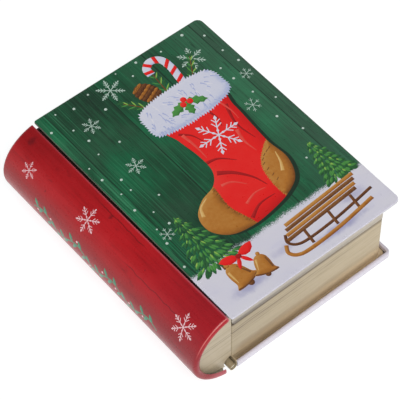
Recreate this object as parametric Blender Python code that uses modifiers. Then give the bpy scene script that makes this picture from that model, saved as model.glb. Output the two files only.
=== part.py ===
"""Hinged tin in the form of a closed book, lying on its back cover.

Eight pieces of thin sheet and one wire.  The lid is the front cover with its
skirt, the curved spine and the two spine ends; it swings on a wire hinge along
the spine side of the base.  The base is a page-block wall standing in a shallow
back-cover tray.

Drawing axes, in millimetres: x runs from the spine side of the front cover
towards the fore-edge, y from the tail to the head, z up from the table.
place() moves them to the frame of the part, whose origin is the middle of the
bottom of the bounding box, and turns them into metres.
"""
import math

import bmesh
import bpy
from mathutils import Vector

# ---------------------------------------------------------------- dimensions
MM = 0.001
SHEET = 0.4            # sheet thickness as modelled
FIT = 0.3              # clearance between pieces that touch

COVER_W = 133.0        # front cover, spine side to fore-edge
COVER_H = 190.0        # front cover, tail to head
THICK = 57.5           # table to the top of the front cover
COVER_R = 4.5          # corner radius of the front cover at the fore-edge
COVER_R_SPINE = 1.8    # the same beside the spine
COVER_EDGE = 1.1       # height of the turned-down edge

SPINE_X = -1.75        # free edge of the spine, left of the front cover
SPINE_BULGE = 25.45    # how far the spine stands out beyond that edge
SPINE_TOP = 56.8       # height of the spine's upper edge
SPINE_OVER = 1.02      # ellipse half-height over half the spine's height
SPINE_Y0 = 0.05        # tail end of the spine at the table
SPINE_SLANT = 1.9      # how far that end stands back at the top
SPINE_Y1 = 189.9
CURL_R = 2.4           # rolled ends of the spine sheet

GROOVE_X0 = -1.6       # groove between spine and front cover
GROOVE_X1 = 3.2
GROOVE_Z = 52.5
LEAF_X1 = 12.0         # leaf of the spine sheet under the front cover

BAND_X0 = 4.1          # skirt of the lid: left ends, outer faces, lower edge
BAND_INSET = 4.8
BAND_X1 = 125.3
BAND_Z0 = 41.2
BAND_R = 2.7
BAND_FLANGE = 4.1

WALL_X0 = 4.1          # page-block wall, outer faces
WALL_X1 = 125.1
WALL_INSET = 5.0
WALL_R = 2.5
WALL_R_SPINE = 1.0
SHOULDER_Z = 40.6      # step below the skirt
NECK_IN = 1.4          # the neck stands back so that the skirt swings clear
NECK_Z1 = 44.2
WALL_Z0 = 1.1          # underside of the wall's foot
FOOT_OUT = 3.3         # outward foot that the tray's rim clamps

TRAY_X0 = 5.1
TRAY_X1 = 130.4
TRAY_Y0 = 0.3
TRAY_Y1 = 189.7
TRAY_R = 3.2
RIM_H = 5.2
RIM_W = 2.1
UPTURN = 7.0           # inner edge of the tray behind the hinge

PIVOT_X = 2.0          # hinge axis, parallel to y
PIVOT_Z = 2.5
WIRE_R = 1.5
KNUCKLE_RI = 2.1
KNUCKLE_RO = 2.5
HINGE_Y0 = 0.6
HINGE_Y1 = 189.4
BASE_KNUCKLES = ((0.6, 36.0), (78.0, 112.0), (154.0, 189.4))
LID_KNUCKLES = ((36.6, 77.4), (112.6, 153.4))
CUT_Z = 5.6            # lower edge of the wall behind the lid's knuckles

CAP_OUT = 5.0          # outer face of each spine end, from the cover's edge
CAP_X1 = 3.7
CAP_TOP = 56.0
CAP_FLANGE = 3.0
NOTCH = (3.2, 3.7, 4.9)   # x, z and radius of the hollow round the knuckle

X_MID = (COVER_W + SPINE_X - SPINE_BULGE) / 2
Y_MID = COVER_H / 2


def place(x, y, z):
    """Drawing millimetres to metres in the part's frame."""
    return Vector(((x - X_MID) * MM, (y - Y_MID) * MM, z * MM))


# ------------------------------------------------------------------ the scene
for old in list(bpy.data.objects):
    bpy.data.objects.remove(old, do_unlink=True)

parts = bpy.data.collections.new("book_tin")
cutters = bpy.data.collections.new("book_tin_tools")
bpy.context.scene.collection.children.link(parts)
bpy.context.scene.collection.children.link(cutters)
cutters.hide_render = True


def material(name, colour, rough, metal):
    mat = bpy.data.materials.new(name)
    mat.use_nodes = True
    bsdf = mat.node_tree.nodes["Principled BSDF"]
    bsdf.inputs["Base Color"].default_value = (*colour, 1.0)
    bsdf.inputs["Roughness"].default_value = rough
    bsdf.inputs["Metallic"].default_value = metal
    return mat


COVER_GREEN = material("cover_green", (0.03, 0.13, 0.07), 0.35, 0.0)
SPINE_RED = material("spine_red", (0.30, 0.02, 0.02), 0.3, 0.0)
PAGE_TAN = material("page_tan", (0.50, 0.42, 0.28), 0.45, 0.0)
CAP_TAN = material("cap_tan", (0.49, 0.41, 0.28), 0.45, 0.0)
SKIRT_TAN = material("skirt_tan", (0.50, 0.46, 0.36), 0.45, 0.0)
BACK_WHITE = material("back_white", (0.66, 0.63, 0.67), 0.35, 0.0)
WIRE_STEEL = material("wire_steel", (0.55, 0.54, 0.52), 0.35, 1.0)

lid_axis = bpy.data.objects.new("lid_axis", None)
lid_axis.empty_display_size = 0.02
lid_axis.location = place(PIVOT_X, Y_MID, PIVOT_Z)
parts.objects.link(lid_axis)
bpy.context.view_layer.update()


def add_object(name, bm, mat, origin, parent=None, collection=parts):
    """Mesh given in drawing millimetres becomes an object with its own origin."""
    o = place(*origin)
    for v in bm.verts:
        v.co = place(*v.co) - o
    mesh = bpy.data.meshes.new(name)
    bm.to_mesh(mesh)
    bm.free()
    mesh.materials.append(mat)
    obj = bpy.data.objects.new(name, mesh)
    if parent is None:
        obj.location = o
    else:
        obj.parent = parent
        obj.location = o - parent.location
    collection.objects.link(obj)
    return obj


def thicken(obj, thickness=SHEET, offset=-1.0):
    mod = obj.modifiers.new("sheet", "SOLIDIFY")
    mod.thickness = thickness * MM
    mod.offset = offset
    mod.use_even_offset = True
    mod.use_quality_normals = True
    return mod


def smooth(obj, angle=35.0):
    obj.data.shade_smooth()
    obj.data.set_sharp_from_angle(angle=math.radians(angle))


def grid_surface(rows, wrap=False, skip=()):
    """Open surface through rows of points; None leaves a hole."""
    bm = bmesh.new()
    verts = [[None if p is None else bm.verts.new(p) for p in row] for row in rows]
    n = len(rows[0])
    for i in range(len(rows) - 1):
        for j in range(n if wrap else n - 1):
            k = (j + 1) % n
            if (i, j) in skip:
                continue
            quad = (verts[i][j], verts[i][k], verts[i + 1][k], verts[i + 1][j])
            if all(quad):
                bm.faces.new(quad)
    for v in [v for v in bm.verts if not v.link_faces]:
        bm.verts.remove(v)
    return bm


def outline(x0, x1, y0, y1, radii, steps=5, closed=True):
    """Rectangle with round corners: points with outward normals.

    radii are for the corners tail/spine, tail/fore, head/fore, head/spine.
    An open outline leaves out the spine side and its two corners.
    """
    pts = []
    corners = ((x0, y0, 1, 1, 180.0), (x1, y0, -1, 1, 270.0),
               (x1, y1, -1, -1, 0.0), (x0, y1, 1, -1, 90.0))
    for n, (cx, cy, sx, sy, start) in enumerate(corners):
        if not closed and n in (0, 3):
            pts.append((cx, cy, 0.0, -1.0 if n == 0 else 1.0))
            continue
        r = radii[n]
        for k in range(steps + 1):
            a = math.radians(start + 90.0 * k / steps)
            nx, ny = math.cos(a), math.sin(a)
            pts.append((cx + sx * r + nx * r, cy + sy * r + ny * r, nx, ny))
    return pts


def arc(cx, cz, r, a0, a1, steps):
    """Points on a circle in the x-z plane, angles in degrees."""
    return [(cx + r * math.cos(math.radians(a0 + (a1 - a0) * k / steps)),
             cz + r * math.sin(math.radians(a0 + (a1 - a0) * k / steps)))
            for k in range(steps + 1)]


# ---------------------------------------------------------- section of spine
HALF = SPINE_TOP / 2
PHI_END = math.asin(1 / SPINE_OVER)
ELL_A = SPINE_BULGE / (1 - math.cos(PHI_END))
ELL_B = HALF * SPINE_OVER


def spine_section(steps, inset=0.0):
    """Outer line of the spine from its lower lip up to its upper edge."""
    out = []
    for k in range(steps + 1):
        phi = -PHI_END + 2 * PHI_END * k / steps
        x = SPINE_X - ELL_A * (math.cos(phi) - math.cos(PHI_END))
        z = HALF + ELL_B * math.sin(phi)
        nx, nz = -math.cos(phi) / ELL_A, math.sin(phi) / ELL_B
        length = math.hypot(nx, nz)
        nx, nz = nx / length, nz / length
        out.append((x - inset * nx, z - inset * nz, nx, nz))
    return out


# ---------------------------------------------------------------- front cover
def build_front_cover():
    radii = (COVER_R_SPINE, COVER_R, COVER_R, COVER_R_SPINE)
    pts = outline(0, COVER_W, 0, COVER_H, radii, steps=6)
    bm = bmesh.new()
    top = [bm.verts.new((x, y, THICK)) for x, y, _, _ in pts]
    low = [bm.verts.new((x, y, THICK - COVER_EDGE)) for x, y, _, _ in pts]
    bm.faces.new(top)
    n = len(pts)
    for i in range(n):
        k = (i + 1) % n
        bm.faces.new((top[i], low[i], low[k], top[k]))
    obj = add_object("front_cover", bm, COVER_GREEN, (0, Y_MID, THICK), lid_axis)
    thicken(obj)
    smooth(obj)
    return obj


# ------------------------------------------------------------------ lid skirt
def build_lid_frame():
    y0, y1 = BAND_INSET, COVER_H - BAND_INSET
    path = outline(BAND_X0, BAND_X1, y0, y1, (0, BAND_R, BAND_R, 0), steps=5, closed=False)
    under = THICK - COVER_EDGE
    profile = ((BAND_FLANGE, under), (0.0, under), (0.0, BAND_Z0))
    rows = [[(x + nx * d, y + ny * d, z) for x, y, nx, ny in path] for d, z in profile]
    bm = grid_surface(rows[::-1])
    obj = add_object("lid_frame", bm, SKIRT_TAN, (BAND_X0, Y_MID, THICK), lid_axis)
    thicken(obj)
    smooth(obj)
    return obj


# ---------------------------------------------------------------- spine shell
def build_spine_shell():
    # stations along y: a rolled end, the plain sheet, the other rolled end
    stations = []          # (y, inset of the sheet, belongs to a rolled end)
    for ang in (-60, -30, 0, 30, 60, 90):
        a = math.radians(ang)
        stations.append((SPINE_Y0 + CURL_R - CURL_R * math.cos(a),
                         CURL_R - CURL_R * math.sin(a), True))
    inner_cuts = [CAP_OUT + SHEET + 0.4]
    for a, b in LID_KNUCKLES:
        inner_cuts += [a, b]
    inner_cuts += [COVER_H - CAP_OUT - SHEET - 0.4]
    stations += [(y, 0.0, False) for y in inner_cuts]
    for ang in (90, 60, 30, 0, -30, -60):
        a = math.radians(ang)
        stations.append((SPINE_Y1 - CURL_R + CURL_R * math.cos(a),
                         CURL_R - CURL_R * math.sin(a), True))
    first_cut, last_cut = 6, 6 + len(inner_cuts) - 1

    rows = []
    section = spine_section(30)
    # knuckles of the lid: the tab from the lip, then the curl round the wire
    tab = arc(PIVOT_X, PIVOT_Z, KNUCKLE_RO, 200, -90, 16)
    tab.append((-0.5, 0.0))
    knuckle_cols = set()
    for a, b in LID_KNUCKLES:
        knuckle_cols |= {first_cut + inner_cuts.index(a), first_cut + inner_cuts.index(b)}
    for x, z in tab:
        rows.append([(x, y, z) if j in knuckle_cols else None
                     for j, (y, _, _) in enumerate(stations)])
    arc_start = len(rows)
    for x, z, nx, nz in section:
        back = SPINE_SLANT * z / SPINE_TOP
        rows.append([(x - nx * d, y + (back if j < first_cut else 0.0), z - nz * d)
                     for j, (y, d, _) in enumerate(stations)])
    # the groove beside the front cover and the leaf under it
    groove = ((GROOVE_X0, SPINE_TOP - 0.5), (GROOVE_X0, GROOVE_Z), (GROOVE_X1, GROOVE_Z),
              (GROOVE_X1, THICK - SHEET - FIT), (LEAF_X1, THICK - SHEET - FIT))
    for x, z in groove:
        rows.append([(x, y, z) if first_cut <= j <= last_cut else None
                     for j, (y, _, _) in enumerate(stations)])
    # between the two knuckles of the lid the tab is missing
    gap_col = first_cut + inner_cuts.index(LID_KNUCKLES[0][1])
    skip = {(i, gap_col) for i in range(arc_start)}
    bm = grid_surface(rows, skip=skip)
    bmesh.ops.reverse_faces(bm, faces=bm.faces[:])
    obj = add_object("spine_shell", bm, SPINE_RED, (PIVOT_X, Y_MID, PIVOT_Z), lid_axis)
    thicken(obj)
    smooth(obj, 50)
    return obj


# ----------------------------------------------------------------- spine ends
def cap_outline():
    inset = SHEET + FIT
    line = [(x, z) for x, z, _, _ in spine_section(30, inset)]
    cx, cz, r = NOTCH
    top = [(CAP_X1, CAP_TOP)]
    a0 = math.degrees(math.acos((CAP_X1 - cx) / r))
    low = line[0]
    a1 = 180.0 + math.degrees(math.asin((cz - low[1] - 0.1) / r))
    notch = arc(cx, cz, r, a0, a1, 12)
    return line, top + notch


def build_cap(name, head):
    line, rest = cap_outline()
    y = COVER_H - CAP_OUT if head else CAP_OUT
    step = -CAP_FLANGE if head else CAP_FLANGE
    bm = bmesh.new()
    face_line = [bm.verts.new((x, y, z)) for x, z in line]
    face_rest = [bm.verts.new((x, y, z)) for x, z in rest]
    bm.faces.new(face_line + face_rest)
    # the flange follows the curve and stops short of the groove
    bent = [i for i, (x, z) in enumerate(line) if x < GROOVE_X0 - 2.0 or z < HALF]
    back = {i: bm.verts.new((line[i][0], y + step, line[i][1])) for i in bent}
    for i in bent[:-1]:
        bm.faces.new((face_line[i + 1], face_line[i], back[i], back[i + 1]))
    bm.normal_update()
    plate = next(f for f in bm.faces if len(f.verts) > 4)
    want = 1.0 if head else -1.0
    if plate.normal.y * want < 0:
        bmesh.ops.reverse_faces(bm, faces=bm.faces[:])
    obj = add_object(name, bm, CAP_TAN, (CAP_X1, y, PIVOT_Z), lid_axis)
    thicken(obj)
    smooth(obj)
    return obj


# ------------------------------------------------------------------ base wall
def knuckle_strip(name, y0, y1):
    """C-shaped curl that the wall's lower edge makes round the wire."""
    outer = [(WALL_X0 + SHEET + 0.02, 8.0)] + arc(PIVOT_X, PIVOT_Z, KNUCKLE_RO + 0.02, 0, -300, 20)
    inner = [(WALL_X0 - 0.02, 8.0)] + arc(PIVOT_X, PIVOT_Z, KNUCKLE_RI - 0.02, 0, -300, 20)
    ring = outer + inner[::-1]
    bm = bmesh.new()
    a = [bm.verts.new((x, y0, z)) for x, z in ring]
    b = [bm.verts.new((x, y1, z)) for x, z in ring]
    n = len(outer)
    for i in range(n - 1):
        k = len(ring) - 1 - i
        bm.faces.new((a[i], a[i + 1], a[k - 1], a[k]))
        bm.faces.new((b[k], b[k - 1], b[i + 1], b[i]))
    m = len(ring)
    for i in range(m):
        k = (i + 1) % m
        bm.faces.new((a[k], a[i], b[i], b[k]))
    bmesh.ops.recalc_face_normals(bm, faces=bm.faces[:])
    obj = add_object(name, bm, PAGE_TAN, (PIVOT_X, y0, PIVOT_Z), collection=cutters)
    obj.hide_render = True
    obj.display_type = "WIRE"
    return obj


def build_base_wall():
    y0, y1 = WALL_INSET, COVER_H - WALL_INSET
    path = outline(WALL_X0, WALL_X1, y0, y1, (WALL_R_SPINE, WALL_R, WALL_R, WALL_R_SPINE), steps=5)
    # extra stations on the spine side where the hinge cut-outs end
    cuts = []
    for a, b in LID_KNUCKLES[::-1]:
        cuts += [b + FIT, a - FIT]
    path += [(WALL_X0, y, -1.0, 0.0) for y in cuts]
    spine_first = len(path) - len(cuts)
    n = len(path)
    curl = [(-NECK_IN - 0.7 - 0.7 * math.cos(math.radians(a)), NECK_Z1 - 0.7 + 0.7 * math.sin(math.radians(a)))
            for a in (-20, 30, 60, 90, 120, 150)]
    profile = curl + [(-NECK_IN, NECK_Z1 - 0.7), (-NECK_IN, SHOULDER_Z + 0.4), (-0.3, SHOULDER_Z),
                      (0.0, SHOULDER_Z - 0.3), (0.0, CUT_Z)]
    # corners of radius 1 on the spine side cannot take the whole inset: the
    # neck is laid out from its own outline there
    rows = []
    for d, z in profile:
        ring = outline(WALL_X0 - d, WALL_X1 + d, y0 - d, y1 + d,
                       tuple(max(r + d, 0.35) for r in (WALL_R_SPINE, WALL_R, WALL_R, WALL_R_SPINE)), steps=5)
        ring += [(WALL_X0 - d, y, -1.0, 0.0) for y in cuts]
        rows.append([(x, y, z) for x, y, _, _ in ring])
    foot_z = WALL_Z0
    # on the spine side the wall ends where it turns into the curl
    low = []
    for j, (x, y, _, _) in enumerate(path):
        on_spine = j == 0 or j >= spine_first - 1
        low.append((x, y, PIVOT_Z + 0.2 if on_spine else foot_z))
    rows.append(low)
    # outward foot on the tail, fore-edge and head sides
    foot = []
    for j, (x, y, nx, ny) in enumerate(path):
        if 5 <= j <= 18:
            foot.append((x + nx * FOOT_OUT, y + ny * FOOT_OUT, foot_z))
        else:
            foot.append(None)
    rows.append(foot)
    last = len(profile)              # row index of the lower edge
    skip = {(last - 1, spine_first), (last - 1, spine_first + 2)}
    bm = grid_surface(rows, wrap=True, skip=skip)
    bm.normal_update()
    probe = max(bm.faces, key=lambda f: f.calc_area())
    c = probe.calc_center_median()
    out = Vector((c.x - (WALL_X0 + WALL_X1) / 2, c.y - Y_MID, 0))
    if probe.normal.dot(out) < 0:
        bmesh.ops.reverse_faces(bm, faces=bm.faces[:])
    obj = add_object("base_wall", bm, PAGE_TAN, (WALL_X0, Y_MID, WALL_Z0))
    thicken(obj)
    for i, (a, b) in enumerate(BASE_KNUCKLES):
        tool = knuckle_strip("knuckle_tool_%d" % i, a, b)
        mod = obj.modifiers.new("knuckle_%d" % i, "BOOLEAN")
        mod.operation = "UNION"
        mod.solver = "EXACT"
        mod.object = tool
    smooth(obj)
    return obj


# ----------------------------------------------------------------- back cover
def build_back_cover():
    path = outline(TRAY_X0, TRAY_X1, TRAY_Y0, TRAY_Y1, (0, TRAY_R, TRAY_R, 0), steps=5, closed=False)
    r = RIM_W / 2
    profile = [(0.0, 0.0), (0.0, RIM_H - r)]
    profile += [(-r + r * math.cos(math.radians(a)), RIM_H - r + r * math.sin(math.radians(a)))
                for a in (30, 60, 90, 120, 150, 180)]
    profile.append((-RIM_W, 1.8))
    bm = bmesh.new()
    rows = []
    for d, z in profile:
        rows.append([bm.verts.new((x + nx * d, y + ny * d, z)) for x, y, nx, ny in path])
    for i in range(len(rows) - 1):
        for j in range(len(path) - 1):
            bm.faces.new((rows[i][j], rows[i][j + 1], rows[i + 1][j + 1], rows[i + 1][j]))
    # floor, with its inner edge turned up behind the hinge
    ya, yb = WALL_INSET + SHEET + FIT + 1.0, COVER_H - WALL_INSET - SHEET - FIT - 1.0
    fa = bm.verts.new((TRAY_X0, ya, 0.0))
    fb = bm.verts.new((TRAY_X0, yb, 0.0))
    ua = bm.verts.new((TRAY_X0, ya, UPTURN))
    ub = bm.verts.new((TRAY_X0, yb, UPTURN))
    bm.faces.new(rows[0][::-1] + [fa, fb])
    bm.faces.new((fa, ua, ub, fb))
    bm.normal_update()
    floor = max(bm.faces, key=lambda f: f.calc_area())
    bmesh.ops.recalc_face_normals(bm, faces=bm.faces[:])
    bm.normal_update()
    if floor.normal.z > 0:
        bmesh.ops.reverse_faces(bm, faces=bm.faces[:])
    obj = add_object("back_cover", bm, BACK_WHITE, (TRAY_X0, Y_MID, 0))
    thicken(obj)
    smooth(obj)
    return obj


# ----------------------------------------------------------------- hinge wire
def build_hinge_wire():
    length = (HINGE_Y1 - HINGE_Y0 - 1.0) * MM
    bm = bmesh.new()
    bmesh.ops.create_cone(bm, cap_ends=True, segments=20, radius1=WIRE_R * MM,
                          radius2=WIRE_R * MM, depth=length)
    mesh = bpy.data.meshes.new("hinge_wire")
    bm.to_mesh(mesh)
    bm.free()
    mesh.materials.append(WIRE_STEEL)
    obj = bpy.data.objects.new("hinge_wire", mesh)
    obj.location = place(PIVOT_X, Y_MID, PIVOT_Z)
    obj.rotation_euler = (math.radians(90), 0, 0)
    parts.objects.link(obj)
    smooth(obj)
    return obj


build_front_cover()
build_lid_frame()
build_spine_shell()
build_cap("spine_cap_tail", head=False)
build_cap("spine_cap_head", head=True)
build_base_wall()
build_back_cover()
build_hinge_wire()
bpy.context.view_layer.update()
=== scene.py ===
"""Looks of the hinged tin in the form of a book.

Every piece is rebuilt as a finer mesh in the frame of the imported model.  The
print is drawn as shapes in the plane of each sheet: their outlines divide the
sheet's own faces, so the print is part of the surface and nothing lies on it.

Drawing axes, in millimetres: x runs from the spine side of the front cover
towards the fore-edge, y from the tail to the head, z up from the table.
"""
import math
import random

import bmesh
import bpy
import numpy as np
from mathutils import Matrix, Vector
from mathutils.geometry import delaunay_2d_cdt


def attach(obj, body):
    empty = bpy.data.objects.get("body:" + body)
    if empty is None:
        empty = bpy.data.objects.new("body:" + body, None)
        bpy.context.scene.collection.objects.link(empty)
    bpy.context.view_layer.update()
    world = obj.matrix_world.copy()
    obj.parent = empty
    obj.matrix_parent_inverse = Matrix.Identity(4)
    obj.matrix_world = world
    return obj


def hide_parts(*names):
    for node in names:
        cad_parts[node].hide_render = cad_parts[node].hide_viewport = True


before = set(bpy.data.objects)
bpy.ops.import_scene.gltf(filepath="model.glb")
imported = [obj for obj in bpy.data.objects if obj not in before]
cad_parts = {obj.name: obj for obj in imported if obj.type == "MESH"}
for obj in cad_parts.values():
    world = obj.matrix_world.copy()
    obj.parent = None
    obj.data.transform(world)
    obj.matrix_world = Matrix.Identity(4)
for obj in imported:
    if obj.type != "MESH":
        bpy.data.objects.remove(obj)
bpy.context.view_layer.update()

# ---------------------------------------------------------------- dimensions
MM = 0.001
SHEET = 0.4
FIT = 0.3
COVER_W, COVER_H, THICK = 133.0, 190.0, 57.5
COVER_R, COVER_R_SPINE = 4.5, 1.8
COVER_EDGE = 1.1
SPINE_X, SPINE_BULGE, SPINE_TOP, SPINE_OVER = -1.75, 25.45, 56.8, 1.02
SPINE_Y0, SPINE_SLANT, SPINE_Y1, CURL_R = 0.05, 1.9, 189.9, 2.4
GROOVE_X0, GROOVE_X1, GROOVE_Z, LEAF_X1 = -1.6, 3.2, 52.5, 12.0
BAND_X0, BAND_INSET, BAND_X1, BAND_Z0, BAND_R, BAND_FLANGE = 4.1, 4.8, 125.3, 41.2, 2.7, 4.1
WALL_X0, WALL_X1, WALL_INSET, WALL_R, WALL_R_SPINE = 4.1, 125.1, 5.0, 2.5, 1.0
SHOULDER_Z, NECK_IN, NECK_Z1, WALL_Z0, FOOT_OUT = 40.6, 1.4, 44.2, 1.1, 3.3
TRAY_X0, TRAY_X1, TRAY_Y0, TRAY_Y1, TRAY_R = 5.1, 130.4, 0.3, 189.7, 3.2
RIM_H, RIM_W, UPTURN = 5.2, 2.1, 7.0
PIVOT_X, PIVOT_Z, WIRE_R, KNUCKLE_RI, KNUCKLE_RO = 2.0, 2.5, 1.5, 2.1, 2.5
HINGE_Y0, HINGE_Y1 = 0.6, 189.4
BASE_KNUCKLES = ((0.6, 36.0), (78.0, 112.0), (154.0, 189.4))
LID_KNUCKLES = ((36.6, 77.4), (112.6, 153.4))
CUT_Z = 5.6
CAP_OUT, CAP_X1, CAP_TOP, CAP_FLANGE = 5.0, 3.7, 56.0, 3.0
NOTCH = (3.2, 3.7, 4.9)
X_MID = (COVER_W + SPINE_X - SPINE_BULGE) / 2
Y_MID = COVER_H / 2


def spine_length():
    """Length of the spine's section from the lower lip to the upper edge."""
    end = math.asin(1 / SPINE_OVER)
    a, b = SPINE_BULGE / (1 - math.cos(end)), SPINE_TOP / 2 * SPINE_OVER
    pts = [(a * math.cos(-end + 2 * end * k / 1200), b * math.sin(-end + 2 * end * k / 1200)) for k in range(1201)]
    return sum(math.hypot(q[0] - p[0], q[1] - p[1]) for p, q in zip(pts, pts[1:]))


SPINE_LEN = spine_length()


def place(x, y, z):
    return Vector(((x - X_MID) * MM, (y - Y_MID) * MM, z * MM))


# ------------------------------------------------------------------ materials
class Mat:
    """A node material with short names for the nodes it is made of."""

    def __init__(self, name, rough=0.3, metal=0.0, spec=0.5, coat=0.0, coat_rough=0.1):
        self.mat = bpy.data.materials.new(name)
        self.mat.use_nodes = True
        self.nt = self.mat.node_tree
        self.bsdf = self.nt.nodes["Principled BSDF"]
        b = self.bsdf.inputs
        b["Roughness"].default_value = rough
        b["Metallic"].default_value = metal
        b["Specular IOR Level"].default_value = spec
        b["Coat Weight"].default_value = coat
        b["Coat Roughness"].default_value = coat_rough
        tc = self.nt.nodes.new("ShaderNodeTexCoord")
        s = self.nt.nodes.new("ShaderNodeVectorMath")
        s.operation = "SCALE"
        s.inputs["Scale"].default_value = 1000.0
        self.nt.links.new(tc.outputs["Object"], s.inputs[0])
        self.mm = s.outputs["Vector"]

    def put(self, sock, value):
        if isinstance(value, bpy.types.NodeSocket):
            self.nt.links.new(value, sock)
        elif isinstance(value, (tuple, list)) and len(value) == 3 and sock.type == "RGBA":
            sock.default_value = (*value, 1.0)
        else:
            sock.default_value = value

    def m(self, op, a, b=0.0, c=0.0, clamp=False):
        n = self.nt.nodes.new("ShaderNodeMath")
        n.operation = op
        n.use_clamp = clamp
        for i, v in enumerate((a, b, c)):
            self.put(n.inputs[i], v)
        return n.outputs[0]

    def xyz(self, vec):
        n = self.nt.nodes.new("ShaderNodeSeparateXYZ")
        self.put(n.inputs[0], vec)
        return n.outputs

    def vec(self, x, y, z=0.0):
        n = self.nt.nodes.new("ShaderNodeCombineXYZ")
        for i, v in enumerate((x, y, z)):
            self.put(n.inputs[i], v)
        return n.outputs[0]

    def noise(self, vec, scale=1.0, detail=2.0, rough=0.5, dist=0.0):
        n = self.nt.nodes.new("ShaderNodeTexNoise")
        self.put(n.inputs["Vector"], vec)
        n.inputs["Scale"].default_value = scale
        n.inputs["Detail"].default_value = detail
        n.inputs["Roughness"].default_value = rough
        n.inputs["Distortion"].default_value = dist
        return n.outputs["Fac"]

    def white(self, w):
        n = self.nt.nodes.new("ShaderNodeTexWhiteNoise")
        n.noise_dimensions = "1D"
        self.put(n.inputs["W"], w)
        return n.outputs["Value"]

    def span(self, v, a, b, c=0.0, d=1.0, smooth=False):
        n = self.nt.nodes.new("ShaderNodeMapRange")
        n.interpolation_type = "SMOOTHSTEP" if smooth else "LINEAR"
        n.clamp = True
        self.put(n.inputs["Value"], v)
        for key, val in zip(("From Min", "From Max", "To Min", "To Max"), (a, b, c, d)):
            self.put(n.inputs[key], val)
        return n.outputs["Result"]

    def mix(self, fac, a, b, blend="MIX"):
        n = self.nt.nodes.new("ShaderNodeMix")
        n.data_type = "RGBA"
        n.blend_type = blend
        self.put(n.inputs[0], fac)
        self.put(n.inputs[6], a)
        self.put(n.inputs[7], b)
        return n.outputs[2]

    def ramp(self, fac, stops):
        n = self.nt.nodes.new("ShaderNodeValToRGB")
        self.put(n.inputs[0], fac)
        e = n.color_ramp.elements
        while len(e) < len(stops):
            e.new(0.5)
        for el, (p, col) in zip(e, stops):
            el.position = p
            el.color = (*col, 1.0)
        return n.outputs[0]

    def attr(self, name):
        n = self.nt.nodes.new("ShaderNodeAttribute")
        n.attribute_name = name
        return n

    def bump(self, height, strength=0.2, dist=0.0001):
        n = self.nt.nodes.new("ShaderNodeBump")
        n.inputs["Strength"].default_value = strength
        n.inputs["Distance"].default_value = dist
        self.put(n.inputs["Height"], height)
        self.nt.links.new(n.outputs[0], self.bsdf.inputs["Normal"])

    def colour(self, c):
        self.put(self.bsdf.inputs["Base Color"], c)

    def rough(self, r):
        self.put(self.bsdf.inputs["Roughness"], r)


def srgb(r, g, b):
    def lin(v):
        v /= 255.0
        return v / 12.92 if v <= 0.04045 else ((v + 0.055) / 1.055) ** 2.4
    return (lin(r), lin(g), lin(b))


def orange_peel(m):
    """Faint unevenness of lacquer and of thin sheet."""
    m.bump(m.noise(m.mm, 0.5, 2.0, 0.5), 0.08, 0.00004)


def wear_rough(m, base, amount=0.08):
    m.rough(m.span(m.noise(m.mm, 0.35, 4.0, 0.6), 0.3, 0.7, base - amount / 2, base + amount))


def paint(name, dark, mid, light, grain=0.35, scale=0.5, rough=0.3):
    """One printed colour, shaded by the tone that the drawing gives each corner."""
    m = Mat(name, rough, coat=0.25, coat_rough=0.12)
    tone = m.attr("tone").outputs["Fac"]
    n = m.noise(m.mm, scale, 4.0, 0.6)
    t = m.m("ADD", tone, m.m("MULTIPLY", m.m("SUBTRACT", n, 0.5), grain), clamp=True)
    m.colour(m.ramp(t, ((0.0, dark), (0.5, mid), (1.0, light))))
    wear_rough(m, rough)
    orange_peel(m)
    return m.mat


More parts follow.
